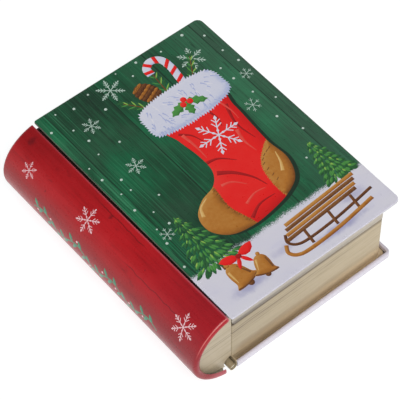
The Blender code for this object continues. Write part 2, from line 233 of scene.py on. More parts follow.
def make_ground():
    """Green planks above a snow field, for the front cover."""
    m = Mat("print_ground", 0.3, coat=0.25, coat_rough=0.12)
    o = m.xyz(m.mm)
    x = m.m("ADD", o[0], X_MID)
    y = m.m("ADD", o[1], Y_MID)
    # planks run along y
    plank = m.m("DIVIDE", m.m("ADD", m.m("ADD", x, 29.9), m.m("MULTIPLY", m.noise(m.vec(0.0, y), 0.02), 1.2)), 38.5)
    cell = m.m("FLOOR", plank)
    frac = m.m("FRACT", plank)
    tint = m.white(cell)
    grain = m.noise(m.vec(m.m("MULTIPLY", x, 1.1), m.m("MULTIPLY", y, 0.03), cell), 1.0, 5.0, 0.62, 0.6)
    fine = m.noise(m.vec(m.m("MULTIPLY", x, 2.1), m.m("MULTIPLY", y, 0.014), cell), 1.0, 2.0, 0.5, 0.15)
    fine_dark = m.noise(m.vec(m.m("MULTIPLY", x, 1.3), m.m("MULTIPLY", y, 0.013), 17.0), 1.0, 2.0, 0.5, 0.15)
    broad = m.noise(m.vec(m.m("MULTIPLY", x, 0.05), m.m("MULTIPLY", y, 0.02), 3.0), 1.0, 3.0, 0.55)
    level = m.m("ADD", m.m("MULTIPLY", grain, 0.5), m.m("MULTIPLY", broad, 0.8))
    level = m.m("ADD", level, m.m("MULTIPLY", m.m("SUBTRACT", tint, 0.5), 0.16))
    # the planks are paler beside the spine and duller towards the head; towards the fore-edge they are washed with a
    # grey green, a painted reflection haze
    level = m.m("ADD", level, m.span(x, 2.0, 34.0, 0.14, 0.0))
    green = m.ramp(m.span(level, 0.40, 0.98), (
        (0.0, srgb(20, 46, 33)), (0.3, srgb(23, 74, 47)), (0.6, srgb(18, 102, 64)), (1.0, srgb(30, 136, 88))))
    green = m.mix(m.span(x, 84.0, 126.0, 0.0, 0.22, smooth=True), green, srgb(110, 160, 130))
    dull = m.span(m.noise(m.vec(m.m("MULTIPLY", x, 0.035), m.m("MULTIPLY", y, 0.03), 21.0), 1.0, 2.0), 0.48, 0.66)
    green = m.mix(m.m("MULTIPLY", dull, 0.42), green, srgb(50, 92, 66))
    # crisp streaks, most of all beside the spine
    green = m.mix(m.m("MULTIPLY", m.span(fine, 0.54, 0.62), m.span(x, 8.0, 24.0, 0.55, 0.16)), green, srgb(74, 158, 112))
    green = m.mix(m.m("MULTIPLY", m.span(fine_dark, 0.54, 0.64), m.span(x, 10.0, 26.0, 0.6, 0.3)), green, srgb(10, 60, 38))
    dark = m.span(m.noise(m.vec(m.m("MULTIPLY", x, 0.55), m.m("MULTIPLY", y, 0.022), 9.0), 1.0, 4.0, 0.6, 1.2), 0.6, 0.68)
    green = m.mix(m.m("MULTIPLY", dark, 0.55), green, srgb(12, 38, 26))
    seam = m.span(m.m("ABSOLUTE", m.m("SUBTRACT", frac, 0.5)), 0.489, 0.496)
    green = m.mix(m.m("MULTIPLY", seam, 0.8), green, srgb(8, 24, 16))
    # worn, brownish line along the cover's edge
    edge_x = m.m("MINIMUM", x, m.m("SUBTRACT", COVER_W, x))
    edge_y = m.m("SUBTRACT", COVER_H, y)
    worn = m.m("MINIMUM", edge_x, edge_y)
    worn = m.m("ADD", worn, m.m("MULTIPLY", m.m("SUBTRACT", m.noise(m.mm, 0.5, 4.0, 0.7), 0.5), 1.6))
    green = m.mix(m.span(worn, 0.75, 0.15, 0.0, 0.75), green, srgb(104, 96, 84))
    # snow: a soft stippled upper edge
    edge = m.m("ADD", 36.4, m.m("MULTIPLY", m.m("SUBTRACT", m.noise(m.vec(x, 0.0), 0.05, 1.0), 0.5), 5.0))
    stipple = m.m("MULTIPLY", m.m("SUBTRACT", m.noise(m.mm, 2.2, 3.0, 0.75), 0.5), 13.0)
    snow_mask = m.span(m.m("SUBTRACT", m.m("ADD", edge, stipple), y), -0.9, 0.9, smooth=True)
    drift = m.noise(m.vec(m.m("MULTIPLY", x, 0.035), m.m("MULTIPLY", y, 0.07)), 1.0, 2.0, 0.5)
    snow = m.ramp(drift, ((0.3, srgb(233, 232, 240)), (0.6, srgb(228, 227, 240)), (0.78, srgb(214, 214, 236))))

    def soft_spot(cx, cy, rx, ry, amount, base):
        dx = m.m("DIVIDE", m.m("SUBTRACT", x, cx), rx)
        dy = m.m("DIVIDE", m.m("SUBTRACT", y, cy), ry)
        d = m.m("SQRT", m.m("ADD", m.m("MULTIPLY", dx, dx), m.m("MULTIPLY", dy, dy)))
        d = m.m("ADD", d, m.m("MULTIPLY", m.m("SUBTRACT", m.noise(m.mm, 0.22, 3.0), 0.5), 0.7))
        return m.mix(m.m("MULTIPLY", m.span(d, 1.0, 0.15, smooth=True), amount), base, srgb(168, 168, 206))

    for spot in ((24, 11, 20, 5.5, 0.75), (92, 8, 30, 4.5, 0.85), (112, 21, 14, 5, 0.55), (56, 18, 15, 4, 0.4)):
        snow = soft_spot(*spot, snow)
    # the print is duller where the sheet turns down
    turned = m.span(o[2], THICK - 0.08, THICK - 0.35, 0.0, 0.42)
    m.colour(m.mix(turned, m.mix(snow_mask, green, snow), srgb(112, 104, 100)))
    wear_rough(m, 0.3)
    orange_peel(m)
    return m.mat


def make_edge():
    m = Mat("print_edge", 0.38)
    o = m.xyz(m.mm)
    y = m.m("ADD", o[1], Y_MID)
    n = m.noise(m.mm, 0.8, 4.0, 0.7)
    green = m.mix(m.span(n, 0.35, 0.6), srgb(96, 74, 58), srgb(52, 66, 50))
    snow = m.mix(m.span(n, 0.3, 0.6), srgb(170, 160, 150), srgb(214, 209, 214))
    m.colour(m.mix(m.span(m.m("ADD", y, m.m("MULTIPLY", n, 6.0)), 42.0, 38.0), green, snow))
    orange_peel(m)
    return m.mat


def make_red():
    """Red planks for the spine; the sheet's own coordinates are in an attribute."""
    m = Mat("print_red", 0.26, spec=0.31, coat=0.05, coat_rough=0.2)
    o = m.xyz(m.attr("sheet").outputs["Vector"])
    s, y = o[0], o[1]
    grain = m.noise(m.vec(m.m("MULTIPLY", s, 0.55), m.m("MULTIPLY", y, 0.018)), 1.0, 5.0, 0.6, 0.5)
    broad = m.noise(m.vec(m.m("MULTIPLY", s, 0.06), m.m("MULTIPLY", y, 0.03), 4.0), 1.0, 3.0, 0.55)
    level = m.m("ADD", m.m("MULTIPLY", grain, 0.5), m.m("MULTIPLY", broad, 0.5))
    red = m.ramp(m.span(level, 0.3, 0.7), (
        (0.0, srgb(156, 16, 22)), (0.45, srgb(186, 24, 31)), (1.0, srgb(200, 31, 38))))
    # darker towards the head and beside the groove
    shade = m.m("MULTIPLY", m.span(y, 95.0, 175.0), m.span(s, 58.0, 76.0))
    red = m.mix(m.m("MULTIPLY", shade, 0.55), red, srgb(118, 8, 14))
    dark = m.span(m.noise(m.vec(m.m("MULTIPLY", s, 0.2), m.m("MULTIPLY", y, 0.05), 7.0), 1.0, 4.0, 0.65), 0.62, 0.74)
    red = m.mix(m.m("MULTIPLY", dark, 0.5), red, srgb(96, 8, 16))
    for s0, y0, rs, ry in ((75.5, 180.0, 5.0, 3.6), (59.0, 150.5, 1.6, 0.9), (77.0, 103.0, 2.6, 2.0), (50.0, 96.0, 1.1, 0.7), (69.0, 62.0, 1.0, 0.6)):
        a = m.m("DIVIDE", m.m("SUBTRACT", s, s0), rs)
        b = m.m("DIVIDE", m.m("SUBTRACT", y, y0), ry)
        d = m.m("ADD", m.m("SQRT", m.m("ADD", m.m("MULTIPLY", a, a), m.m("MULTIPLY", b, b))), m.m("SUBTRACT", m.noise(m.mm, 0.8, 3.0), 0.5))
        red = m.mix(m.span(d, 1.0, 0.2, 0.0, 0.5, smooth=True), red, srgb(72, 12, 20))
    wob = m.m("MULTIPLY", m.m("SUBTRACT", m.noise(m.vec(0.0, y), 0.12, 3.0), 0.5), 3.0)
    for s0, ya, yb in ((63.4, 24.0, 80.0), (78.5, 70.0, 120.0), (24.0, 90.0, 160.0), (46.0, 8.0, 30.0)):
        d = m.m("ABSOLUTE", m.m("SUBTRACT", m.m("ADD", s, wob), s0))
        line = m.m("MULTIPLY", m.span(d, 0.38, 0.12), m.m("MULTIPLY", m.span(y, ya, ya + 6.0), m.span(y, yb, yb - 10.0)))
        red = m.mix(m.m("MULTIPLY", line, 0.62), red, srgb(66, 14, 18))
    # painted shade: a deeper red on the side that faces down; and a duller red at the tail
    red = m.mix(m.span(s, 66.0, 48.0, 0.0, 0.48, smooth=True), red, srgb(106, 10, 18))
    red = m.mix(m.span(y, 84.0, 20.0, 0.0, 0.27, smooth=True), red, srgb(112, 34, 50))
    # painted reflection of the floor: paler towards the lower lip, most of all at the tail
    floor_sheen_mask = m.m("MULTIPLY", m.span(s, 26.0, 5.0, smooth=True), m.span(y, 70.0, 0.0, 0.12, 0.5))
    red = m.mix(floor_sheen_mask, red, srgb(206, 124, 132))
    # painted highlights: a light line along the crest of the rolled end, and another along the edge by the groove
    crest = m.m("MULTIPLY", m.span(m.m("ABSOLUTE", m.m("SUBTRACT", y, 0.95)), 0.42, 0.12), m.span(s, 50.0, 62.0))
    red = m.mix(m.m("MULTIPLY", crest, 0.58), red, srgb(240, 150, 142))
    lip = m.m("MULTIPLY", m.span(s, SPINE_LEN - 1.1, SPINE_LEN - 0.5), m.span(y, 170.0, 20.0, 0.22, 0.55))
    red = m.mix(lip, red, srgb(196, 112, 124))
    m.colour(red)
    wear_rough(m, 0.28)
    orange_peel(m)
    return m.mat


def make_page(name, light, base, dark, lines, part):
    """Printed page edges: a fine level grain, and darker lines that fade along the block.

    lines holds the height, the strength and the half-width of each darker line.
    """
    m = Mat(name, 0.42, coat=0.1, coat_rough=0.2)
    o = m.xyz(m.mm)
    x = m.m("ADD", o[0], X_MID)
    along = m.m("ADD", o[0], o[1])
    z = o[2]
    fine = m.noise(m.vec(m.m("MULTIPLY", along, 0.025), 2.0, m.m("MULTIPLY", z, 1.5)), 1.0, 4.0, 0.62)
    soft = m.noise(m.vec(m.m("MULTIPLY", along, 0.02), 5.0, m.m("MULTIPLY", z, 0.22)), 1.0, 2.0)
    level = m.m("ADD", m.m("MULTIPLY", fine, 0.6), m.m("MULTIPLY", soft, 0.4))
    col = m.ramp(level, ((0.30, dark), (0.47, base), (0.66, light)))
    wander = m.m("MULTIPLY", m.m("SUBTRACT", m.noise(m.vec(m.m("MULTIPLY", along, 0.03), 9.0), 1.0, 3.0), 0.5), 1.5)
    left = m.span(x, 5.0, 115.0, 1.25, 0.42)
    col = m.mix(m.span(x, 10.0, 110.0, 0.19, 0.02), col, srgb(70, 66, 60))
    for k, (zl, amount, half) in enumerate(lines):
        d = m.m("ABSOLUTE", m.m("SUBTRACT", m.m("ADD", z, wander), zl))
        fade = m.span(m.noise(m.vec(m.m("MULTIPLY", along, 0.035), 13.0 + 3.1 * k), 1.0, 2.0), 0.34, 0.6, 0.25, 1.0)
        line = m.m("MULTIPLY", m.m("MULTIPLY", m.span(d, half * 1.5, half * 0.3, smooth=True), fade), left)
        col = m.mix(m.m("MULTIPLY", line, amount), col, srgb(92, 74, 48))
    if part == "wall":
        body = m.span(x, 5.5, 12.0)
        zz = m.m("ADD", z, m.m("MULTIPLY", m.m("SUBTRACT", m.noise(m.vec(m.m("MULTIPLY", along, 0.06), 3.0, m.m("MULTIPLY", z, 0.6)), 1.0, 3.0), 0.5), 5.0))
        low = m.m("MULTIPLY", body, m.span(x, 40.0, 118.0, 0.42, 0.1))
        col = m.mix(m.m("MULTIPLY", m.span(zz, 17.0, 12.5, smooth=True), low), col, srgb(134, 106, 70))
        # the tray's rim keeps light from the foot, so the foot is painted paler: painted light against that shade
        col = m.mix(m.m("MULTIPLY", m.span(z, 13.0, 6.5, smooth=True), m.span(x, 20.0, 118.0, 0.24, 0.6)), col, srgb(222, 196, 158))
        # painted shadow in a band under the skirt, and a short line above the hinge curl
        step = m.m("ADD", z, m.span(x, 10.0, 120.0, -0.6, 0.9))
        col = m.mix(m.m("MULTIPLY", m.span(step, 38.4, 39.6), m.span(x, 10.0, 120.0, 0.86, 0.55)), col, srgb(72, 57, 42))
        d = m.m("ABSOLUTE", m.m("SUBTRACT", z, m.m("ADD", 5.7, m.m("MULTIPLY", x, 0.05))))
        short = m.m("MULTIPLY", m.span(d, 0.5, 0.2), m.span(x, 16.0, 8.0))
        col = m.mix(m.m("MULTIPLY", short, 0.55), col, srgb(86, 72, 48))
        # the hinge curls are duller than the pages
        curl = m.m("MULTIPLY", m.span(x, 4.9, 4.4), m.span(z, 6.4, 5.2))
        col = m.mix(m.m("MULTIPLY", curl, 0.32), col, srgb(98, 86, 50))
    if part == "cap":
        # the narrow strip that shows beside the cover's corner lies in the shade
        strip = m.m("MULTIPLY", m.span(z, 50.6, 52.6), m.span(x, -3.0, -1.4))
        col = m.mix(m.m("MULTIPLY", strip, 0.85), col, srgb(46, 30, 28))
    if part == "skirt":
        # painted shade on the skirt's lower part, strongest towards the spine
        col = m.mix(m.m("MULTIPLY", m.span(z, 45.8, 42.4, smooth=True), m.span(x, 10.0, 120.0, 0.82, 0.1)), col, srgb(84, 70, 54))
    m.colour(col)
    wear_rough(m, 0.42, 0.1)
    m.bump(fine, 0.15, 0.00005)
    return m.mat


def make_groove():
    """The channel beside the cover: its sheet is painted near black as painted shade, lighter and purplish towards the
    tail.
    """
    m = Mat("groove_painted_shade", 0.55, spec=0.3)
    n = m.noise(m.mm, 0.5, 4.0, 0.6)
    groove_shade_colour = m.mix(n, srgb(34, 26, 22), srgb(62, 34, 30))
    y = m.m("ADD", m.xyz(m.mm)[1], Y_MID)
    m.colour(m.mix(m.span(y, 48.0, 10.0, 0.0, 0.8, smooth=True), groove_shade_colour, srgb(112, 60, 70)))
    orange_peel(m)
    return m.mat


def make_lilac():
    m = Mat("print_white", 0.32, coat=0.25, coat_rough=0.15)
    broad = m.noise(m.mm, 0.03, 3.0)
    c = m.mix(broad, srgb(216, 211, 219), srgb(206, 199, 211))
    scuff = m.span(m.noise(m.vec(m.m("MULTIPLY", m.xyz(m.mm)[0], 0.5), m.m("MULTIPLY", m.xyz(m.mm)[1], 0.5)), 1.6, 5.0, 0.75), 0.68, 0.74)
    c = m.mix(m.m("MULTIPLY", scuff, 0.25), c, srgb(150, 140, 146))
    m.colour(c)
    wear_rough(m, 0.32)
    orange_peel(m)
    return m.mat


def make_tinplate():
    m = Mat("tinplate", 0.36, metal=1.0)
    o = m.xyz(m.mm)
    n = m.noise(m.vec(m.m("MULTIPLY", o[0], 0.04), m.m("MULTIPLY", o[1], 1.6), m.m("MULTIPLY", o[2], 0.3)), 1.0, 4.0, 0.6)
    m.colour(m.ramp(n, ((0.3, (0.56, 0.55, 0.52)), (0.7, (0.70, 0.69, 0.66)))))
    m.rough(m.span(n, 0.3, 0.7, 0.28, 0.42))
    m.bump(n, 0.1, 0.00003)
    return m.mat


def make_wire():
    m = Mat("wire_bright", 0.32, metal=1.0)
    o = m.xyz(m.mm)
    n = m.noise(m.vec(m.m("MULTIPLY", o[0], 2.0), m.m("MULTIPLY", o[1], 0.08), m.m("MULTIPLY", o[2], 2.0)), 1.0, 4.0, 0.6)
    m.colour(m.ramp(n, ((0.3, (0.45, 0.40, 0.30)), (0.7, (0.62, 0.57, 0.46)))))
    m.rough(m.span(n, 0.3, 0.7, 0.25, 0.4))
    return m.mat


GROUND = make_ground()
EDGE = make_edge()
RED_SHEET = make_red()
GROOVE = make_groove()
PAGE = make_page("page_edges", srgb(192, 175, 143), srgb(184, 167, 135), srgb(165, 147, 113), (
    (36.8, 0.16, 0.4), (34.5, 0.48, 0.75), (32.2, 0.58, 0.85), (30.2, 0.24, 0.4), (28.2, 0.44, 0.65), (25.8, 0.22, 0.4),
    (22.6, 0.12, 0.35), (18.8, 0.12, 0.35)), "wall")
SKIRT = make_page("page_edges_lid", srgb(194, 184, 170), srgb(186, 176, 160), srgb(168, 158, 138), (
    (49.6, 0.14, 0.3), (46.6, 0.2, 0.4)), "skirt")
CAPPAGE = make_page("page_edges_spine", srgb(201, 185, 156), srgb(193, 177, 147), srgb(174, 157, 125), (
    (38.6, 0.2, 0.35), (33.2, 0.44, 0.5), (31.2, 0.4, 0.45), (26.0, 0.16, 0.35), (17.4, 0.26, 0.4), (14.6, 0.32, 0.4),
    (9.0, 0.3, 0.5)), "cap")
LILAC = make_lilac()
TIN = make_tinplate()
WIRE = make_wire()

PAINTS = {
    "flake": paint("paint_flake", srgb(160, 194, 174), srgb(190, 214, 200), srgb(216, 230, 222), 0.3),
    "dot": paint("paint_dot", srgb(186, 212, 196), srgb(212, 230, 218), srgb(232, 242, 236), 0.2),
    "tuft": paint("paint_tuft", srgb(226, 228, 240), srgb(240, 240, 247), srgb(248, 248, 250), 0.1),
    "red": paint("paint_red", srgb(204, 12, 16), srgb(248, 28, 25), srgb(254, 74, 64), 0.16, 0.2),
    "red_deep": paint("paint_red_deep", srgb(122, 8, 12), srgb(176, 16, 18), srgb(206, 40, 38), 0.2),
    "fur": paint("paint_fur", srgb(150, 172, 226), srgb(222, 226, 243), srgb(240, 240, 248), 0.25, 0.7),
    "gold": paint("paint_gold", srgb(112, 60, 18), srgb(190, 122, 44), srgb(226, 176, 96), 0.3, 0.4),
    "brown": paint("paint_brown", srgb(70, 34, 16), srgb(122, 74, 34), srgb(168, 116, 58), 0.5, 0.5),
    "fir_dark": paint("paint_fir_dark", srgb(24, 66, 38), srgb(44, 104, 56), srgb(66, 130, 70), 0.5, 0.8),
    "fir_mid": paint("paint_fir_mid", srgb(50, 116, 52), srgb(82, 156, 72), srgb(118, 184, 92), 0.5, 0.8),
    "fir_light": paint("paint_fir_light", srgb(108, 168, 66), srgb(150, 198, 86), srgb(188, 220, 114), 0.4, 0.8),
    "shade": paint("paint_shade", srgb(20, 42, 30), srgb(24, 52, 36), srgb(30, 62, 42), 0.3, 0.5),
    "vine": paint("paint_vine", srgb(28, 96, 66), srgb(46, 132, 92), srgb(86, 170, 128), 0.3, 0.6),
    "flake_pink": paint("paint_flake_pink", srgb(222, 160, 166), srgb(240, 200, 204), srgb(248, 226, 228), 0.25),
    "fur_shade": paint("paint_fur_shade", srgb(150, 166, 218), srgb(184, 194, 232), srgb(210, 216, 240), 0.3, 0.7),
    "red_light": paint("paint_red_light", srgb(232, 40, 34), srgb(244, 84, 72), srgb(250, 128, 112), 0.2, 0.4),
    "gold_light": paint("paint_gold_light", srgb(206, 150, 70), srgb(234, 192, 116), srgb(248, 226, 172), 0.2, 0.4),
}


# ------------------------------------------------------------ drawing helpers
def catmull(pts, n=7, closed=True):
    out, m = [], len(pts)
    for i in range(m if closed else m - 1):
        p = [np.array(pts[(i + k - 1) % m] if closed else pts[min(max(i + k - 1, 0), m - 1)], float) for k in range(4)]
        for j in range(n):
            t = j / n
            q = 0.5 * ((2 * p[1]) + (-p[0] + p[2]) * t + (2 * p[0] - 5 * p[1] + 4 * p[2] - p[3]) * t * t
                       + (-p[0] + 3 * p[1] - 3 * p[2] + p[3]) * t ** 3)
            out.append((float(q[0]), float(q[1])))
    if not closed:
        out.append(tuple(map(float, pts[-1])))
    return out


def ellipse(cx, cy, rx, ry, rot=0.0, n=28):
    c, s = math.cos(math.radians(rot)), math.sin(math.radians(rot))
    return [(cx + rx * math.cos(2 * math.pi * k / n) * c - ry * math.sin(2 * math.pi * k / n) * s,
             cy + rx * math.cos(2 * math.pi * k / n) * s + ry * math.sin(2 * math.pi * k / n) * c) for k in range(n)]


def stroke(pts, w0, w1=None):
    """Outline of a line of points with a width that may taper."""
    w1 = w0 if w1 is None else w1
    left, right = [], []
    m = len(pts)
    for i, p in enumerate(pts):
        a = np.array(pts[max(i - 1, 0)], float)
        b = np.array(pts[min(i + 1, m - 1)], float)
        d = (b - a) / max(np.linalg.norm(b - a), 1e-9)
        w = (w0 + (w1 - w0) * i / (m - 1)) / 2
        left.append((p[0] - d[1] * w, p[1] + d[0] * w))
        right.append((p[0] + d[1] * w, p[1] - d[0] * w))
    return left + right[::-1]


def leaf(x, y, ang, length, width, bend=0.0):
    a = math.radians(ang)
    ux, uy = math.cos(a), math.sin(a)
    out = []
    for side in (1, -1):
        row = []
        for t in (0.0, 0.25, 0.5, 0.78, 1.0):
            w = width / 2 * math.sin(math.pi * min(t * 0.95 + 0.03, 1.0)) ** 0.8
            off = side * w + bend * t * (1 - t)
            row.append((x + ux * t * length - uy * off, y + uy * t * length + ux * off))
        out += row if side == 1 else row[::-1][1:-1]
    return out


def furry(poly, depth, step, seed):
    """Outline with the short uneven points of painted fur."""
    rng = random.Random(seed)
    p = np.array(poly + [poly[0]], float)
    seg = np.hypot(*(p[1:] - p[:-1]).T)
    total = seg.sum()
    cum = np.concatenate([[0], np.cumsum(seg)])
    area = 0.5 * np.sum(p[:-1, 0] * p[1:, 1] - p[1:, 0] * p[:-1, 1])
    n = max(8, int(total / step))
    out = []
    for k in range(2 * n):
        d = (k + (rng.random() - 0.5) * 0.5) / (2 * n) * total % total
        i = min(int(np.searchsorted(cum, d, side="right")) - 1, len(seg) - 1)
        q = p[i] + (p[i + 1] - p[i]) * ((d - cum[i]) / max(seg[i], 1e-9))
        t = (p[i + 1] - p[i]) / max(seg[i], 1e-9)
        nrm = np.array([t[1], -t[0]]) * (1 if area > 0 else -1)
        h = depth * (0.55 + 0.6 * rng.random()) if k % 2 else -0.1 * depth
        q = q + nrm * h + t * (0.4 * depth if k % 2 else 0.0)
        out.append((float(q[0]), float(q[1])))
    return out


def snowflake(cx, cy, r, kind, rot=0.0, thin=1.0):
    """Six-armed crystal as a set of thin bars and points."""
    w = max(0.3, r * 0.052) * thin
    polys = []
    for k in range(6):
        a = math.radians(rot + 60 * k)
        c, s = math.cos(a), math.sin(a)

        def at(u, v):
            return (cx + c * u - s * v, cy + s * u + c * v)

        polys.append([at(0.0, -w / 2), at(r * 0.98, -w / 2), at(r * 0.98, w / 2), at(0.0, w / 2)])
        if kind == 0:
            branches = ((0.42, 0.30), (0.66, 0.26))
        elif kind == 1:
            branches = ((0.34, 0.22), (0.55, 0.24), (0.76, 0.18))
        else:
            branches = ((0.60, 0.30),)
        for u0, ln in branches:
            for sgn in (1, -1):
                p0, p1 = (r * u0, 0.0), (r * (u0 + ln * 0.72), sgn * r * ln * 0.72)
                q = stroke([at(*p0), at(*p1)], w, w * 0.8)
                polys.append(q)
        if kind == 0:
            polys.append([at(r * 0.80, 0), at(r * 0.92, r * 0.085), at(r * 1.08, 0), at(r * 0.92, -r * 0.085)])
            polys.append([at(r * 0.10, 0), at(r * 0.24, r * 0.06), at(r * 0.38, 0), at(r * 0.24, -r * 0.06)])
        if kind == 1:
            polys.append(ellipse(*at(r * 1.0, 0), w * 0.9, w * 0.9, n=10))
    polys.append(ellipse(cx, cy, w * 1.1, w * 1.1, n=12))
    return polys


def inside(poly, pts):
    x, y = pts[:, 0], pts[:, 1]
    hit = np.zeros(len(pts), bool)
    p = np.array(poly, float)
    lo, hi = p.min(0), p.max(0)
    near = np.nonzero((x >= lo[0]) & (x <= hi[0]) & (y >= lo[1]) & (y <= hi[1]))[0]
    if not len(near):
        return hit
    xx, yy = x[near], y[near]
    h = np.zeros(len(near), bool)
    q = np.roll(p, -1, 0)
    for (x0, y0), (x1, y1) in zip(p, q):
        if y0 == y1:
            continue
        c = ((y0 > yy) != (y1 > yy)) & (xx < (x1 - x0) * (yy - y0) / (y1 - y0) + x0)
        h ^= c
    hit[near] = h
    return hit


def shape(paint_name, polys, w=3.0, clip=None, lit=(-0.45, 0.75), bias=0.0):
    if isinstance(polys[0][0], (int, float)):
        polys = [polys]
    return {"paint": paint_name, "polys": polys, "w": w, "clip": clip, "lit": lit, "bias": bias}


def divide_sheet(outline_pts, shapes, grid):
    """Triangles of a flat sheet, split along every outline of the drawing.

    Returns points, triangles, the paint of each triangle and the tone of each
    triangle's corners.
    """
    verts, edges = [], []

    def loop(poly):
        base, n = len(verts), len(poly)
        verts.extend(Vector((float(p[0]), float(p[1]))) for p in poly)
        edges.extend((base + i, base + (i + 1) % n) for i in range(n))

    loop(outline_pts)
    for sh in shapes:
        for poly in sh["polys"]:
            loop(poly)
    verts.extend(Vector((float(a), float(b))) for a, b in grid)
    co, _, faces, *_ = delaunay_2d_cdt(verts, edges, [], 0, 1e-4, True)
    co = np.array([(v[0], v[1]) for v in co])
    tri = np.array([f for f in faces if len(f) == 3], int)
    a, b, c = co[tri[:, 0]], co[tri[:, 1]], co[tri[:, 2]]
    area = 0.5 * ((b[:, 0] - a[:, 0]) * (c[:, 1] - a[:, 1]) - (c[:, 0] - a[:, 0]) * (b[:, 1] - a[:, 1]))
    tri[area < 0] = tri[area < 0][:, ::-1]
    tri = tri[np.abs(area) > 1e-7]
    mid = co[tri].mean(1)
    keep = inside(outline_pts, mid)
    tri, mid = tri[keep], mid[keep]
    owner = np.full(len(tri), -1)
    for k, sh in enumerate(shapes):
        hit = np.zeros(len(tri), bool)
        for poly in sh["polys"]:
            hit |= inside(poly, mid)
        if sh["clip"] is not None:
            hit &= inside(sh["clip"], mid)
        owner[hit] = k
    tone = np.full((len(tri), 3), 0.5)
    for k, sh in enumerate(shapes):
        rows = np.nonzero(owner == k)[0]
        if not len(rows) or sh["w"] <= 0:
            tone[rows] = 0.5 + sh["bias"]
            continue
        segs = [(p[i], p[(i + 1) % len(p)]) for p in sh["polys"] + ([sh["clip"]] if sh["clip"] is not None else [])
                for i in range(len(p))]
        s0 = np.array([s[0] for s in segs], float)
        s1 = np.array([s[1] for s in segs], float)
        d = s1 - s0
        ln = np.maximum((d ** 2).sum(1), 1e-12)
        pts = co[tri[rows]].reshape(-1, 2)
        inner = np.repeat(mid[rows], 3, 0)
        # a corner on an outline is pulled a little inwards, so that it has a side
        pts = pts + (inner - pts) * 0.02
        lit = np.array(sh["lit"])
        vals = np.empty(len(pts))
        for i0 in range(0, len(pts), 4000):
            p = pts[i0:i0 + 4000]
            t = np.clip(((p[:, None] - s0) * d).sum(2) / ln, 0, 1)
            q = s0 + t[..., None] * d
            v = p[:, None] - q
            dist = np.sqrt((v ** 2).sum(2))
            j = dist.argmin(1)
            r = np.arange(len(p))
            dd = np.maximum(dist[r, j], 1e-6)
            n_in = v[r, j] / dd[:, None]
            slope = 1 - np.minimum(dd / sh["w"], 1)
            slope = slope * slope
            vals[i0:i0 + 4000] = 0.55 - 0.16 * slope + 0.42 * slope * (-(n_in * lit).sum(1))
        tone[rows] = np.clip(vals + sh["bias"], 0, 1).reshape(-1, 3)
    return co, tri, owner, tone


def hexgrid(x0, x1, y0, y1, h, seed=1):
    rng = random.Random(seed)
    pts, row, y = [], 0, y0
    while y < y1:
        x = x0 + (h / 2 if row % 2 else 0)
        while x < x1:
            pts.append((x + rng.uniform(-0.08, 0.08) * h, y + rng.uniform(-0.08, 0.08) * h))
            x += h
        y += h * 0.866
        row += 1
    return pts


# ---------------------------------------------------------------- the drawing
def fir(cx, base, height, width, seed):
    """A fir tree of overlapping brush strokes, dark ones first."""
    rng = random.Random(seed)
    groups = {"fir_dark": [], "fir_mid": [], "fir_light": []}
    tiers = 8
    for name, count, ln, w, drop in (("fir_dark", 17, 1.25, 2.6, 0.0), ("fir_mid", 13, 1.0, 1.7, 0.8), ("fir_light", 5, 0.62, 1.0, 1.4)):
        for t in range(tiers):
            f = t / (tiers - 1)
            half = width / 2 * (1 - f) ** 0.85 + 0.8
            y = base + height * (0.10 + 0.82 * f)
            n = max(3, int(count * (1 - 0.7 * f)))
            for k in range(n):
                u = (k + rng.random()) / n * 2 - 1
                if name == "fir_light" and rng.random() < 0.35:
                    continue
                x = cx + u * half * 0.72
                ang = -90 + u * 62 + rng.uniform(-14, 14)
                length = height * 0.125 * ln * (0.75 + 0.5 * rng.random()) * (1 - 0.35 * f)
                groups[name].append(leaf(x, y + drop, ang, length, w * (0.7 + 0.5 * rng.random()) * (1 - 0.3 * f), rng.uniform(-0.5, 0.5)))
    top = leaf(cx, base + height * 0.86, 90, height * 0.14, 1.8)
    groups["fir_dark"].append(top)
    groups["fir_mid"].append(leaf(cx, base + height * 0.88, 92, height * 0.11, 1.0))
    trunk = [(cx - 1.1, base - height * 0.07), (cx + 1.1, base - height * 0.07), (cx + 0.9, base + height * 0.12), (cx - 0.9, base + height * 0.12)]
    return [shape("brown", trunk, 1.0)] + [shape(n, g, 0.9) for n, g in groups.items()]


def sprig(x, y, ang, length, seed):
    rng = random.Random(seed)
    a = math.radians(ang)
    dark, mid, light = [], [], []
    for k in range(15):
        t = k / 14
        px, py = x + math.cos(a) * length * t, y + math.sin(a) * length * t
        for sgn in (1, -1):
            spread = 48 - 26 * t + rng.uniform(-7, 7)
            ln = (7.2 - 3.0 * t) * rng.uniform(0.85, 1.15)
            (dark if k % 3 else mid if sgn > 0 else light).append(leaf(px, py, ang + sgn * spread, ln, 0.95))
    dark.append(leaf(x + math.cos(a) * length * 0.95, y + math.sin(a) * length * 0.95, ang, 5, 1.0))
    stem = stroke([(x, y), (x + math.cos(a) * length, y + math.sin(a) * length)], 1.1, 0.5)
    return [shape("fir_dark", dark, 0.5), shape("brown", stem, 0.5), shape("fir_mid", mid, 0.5), shape("fir_light", light, 0.5)]


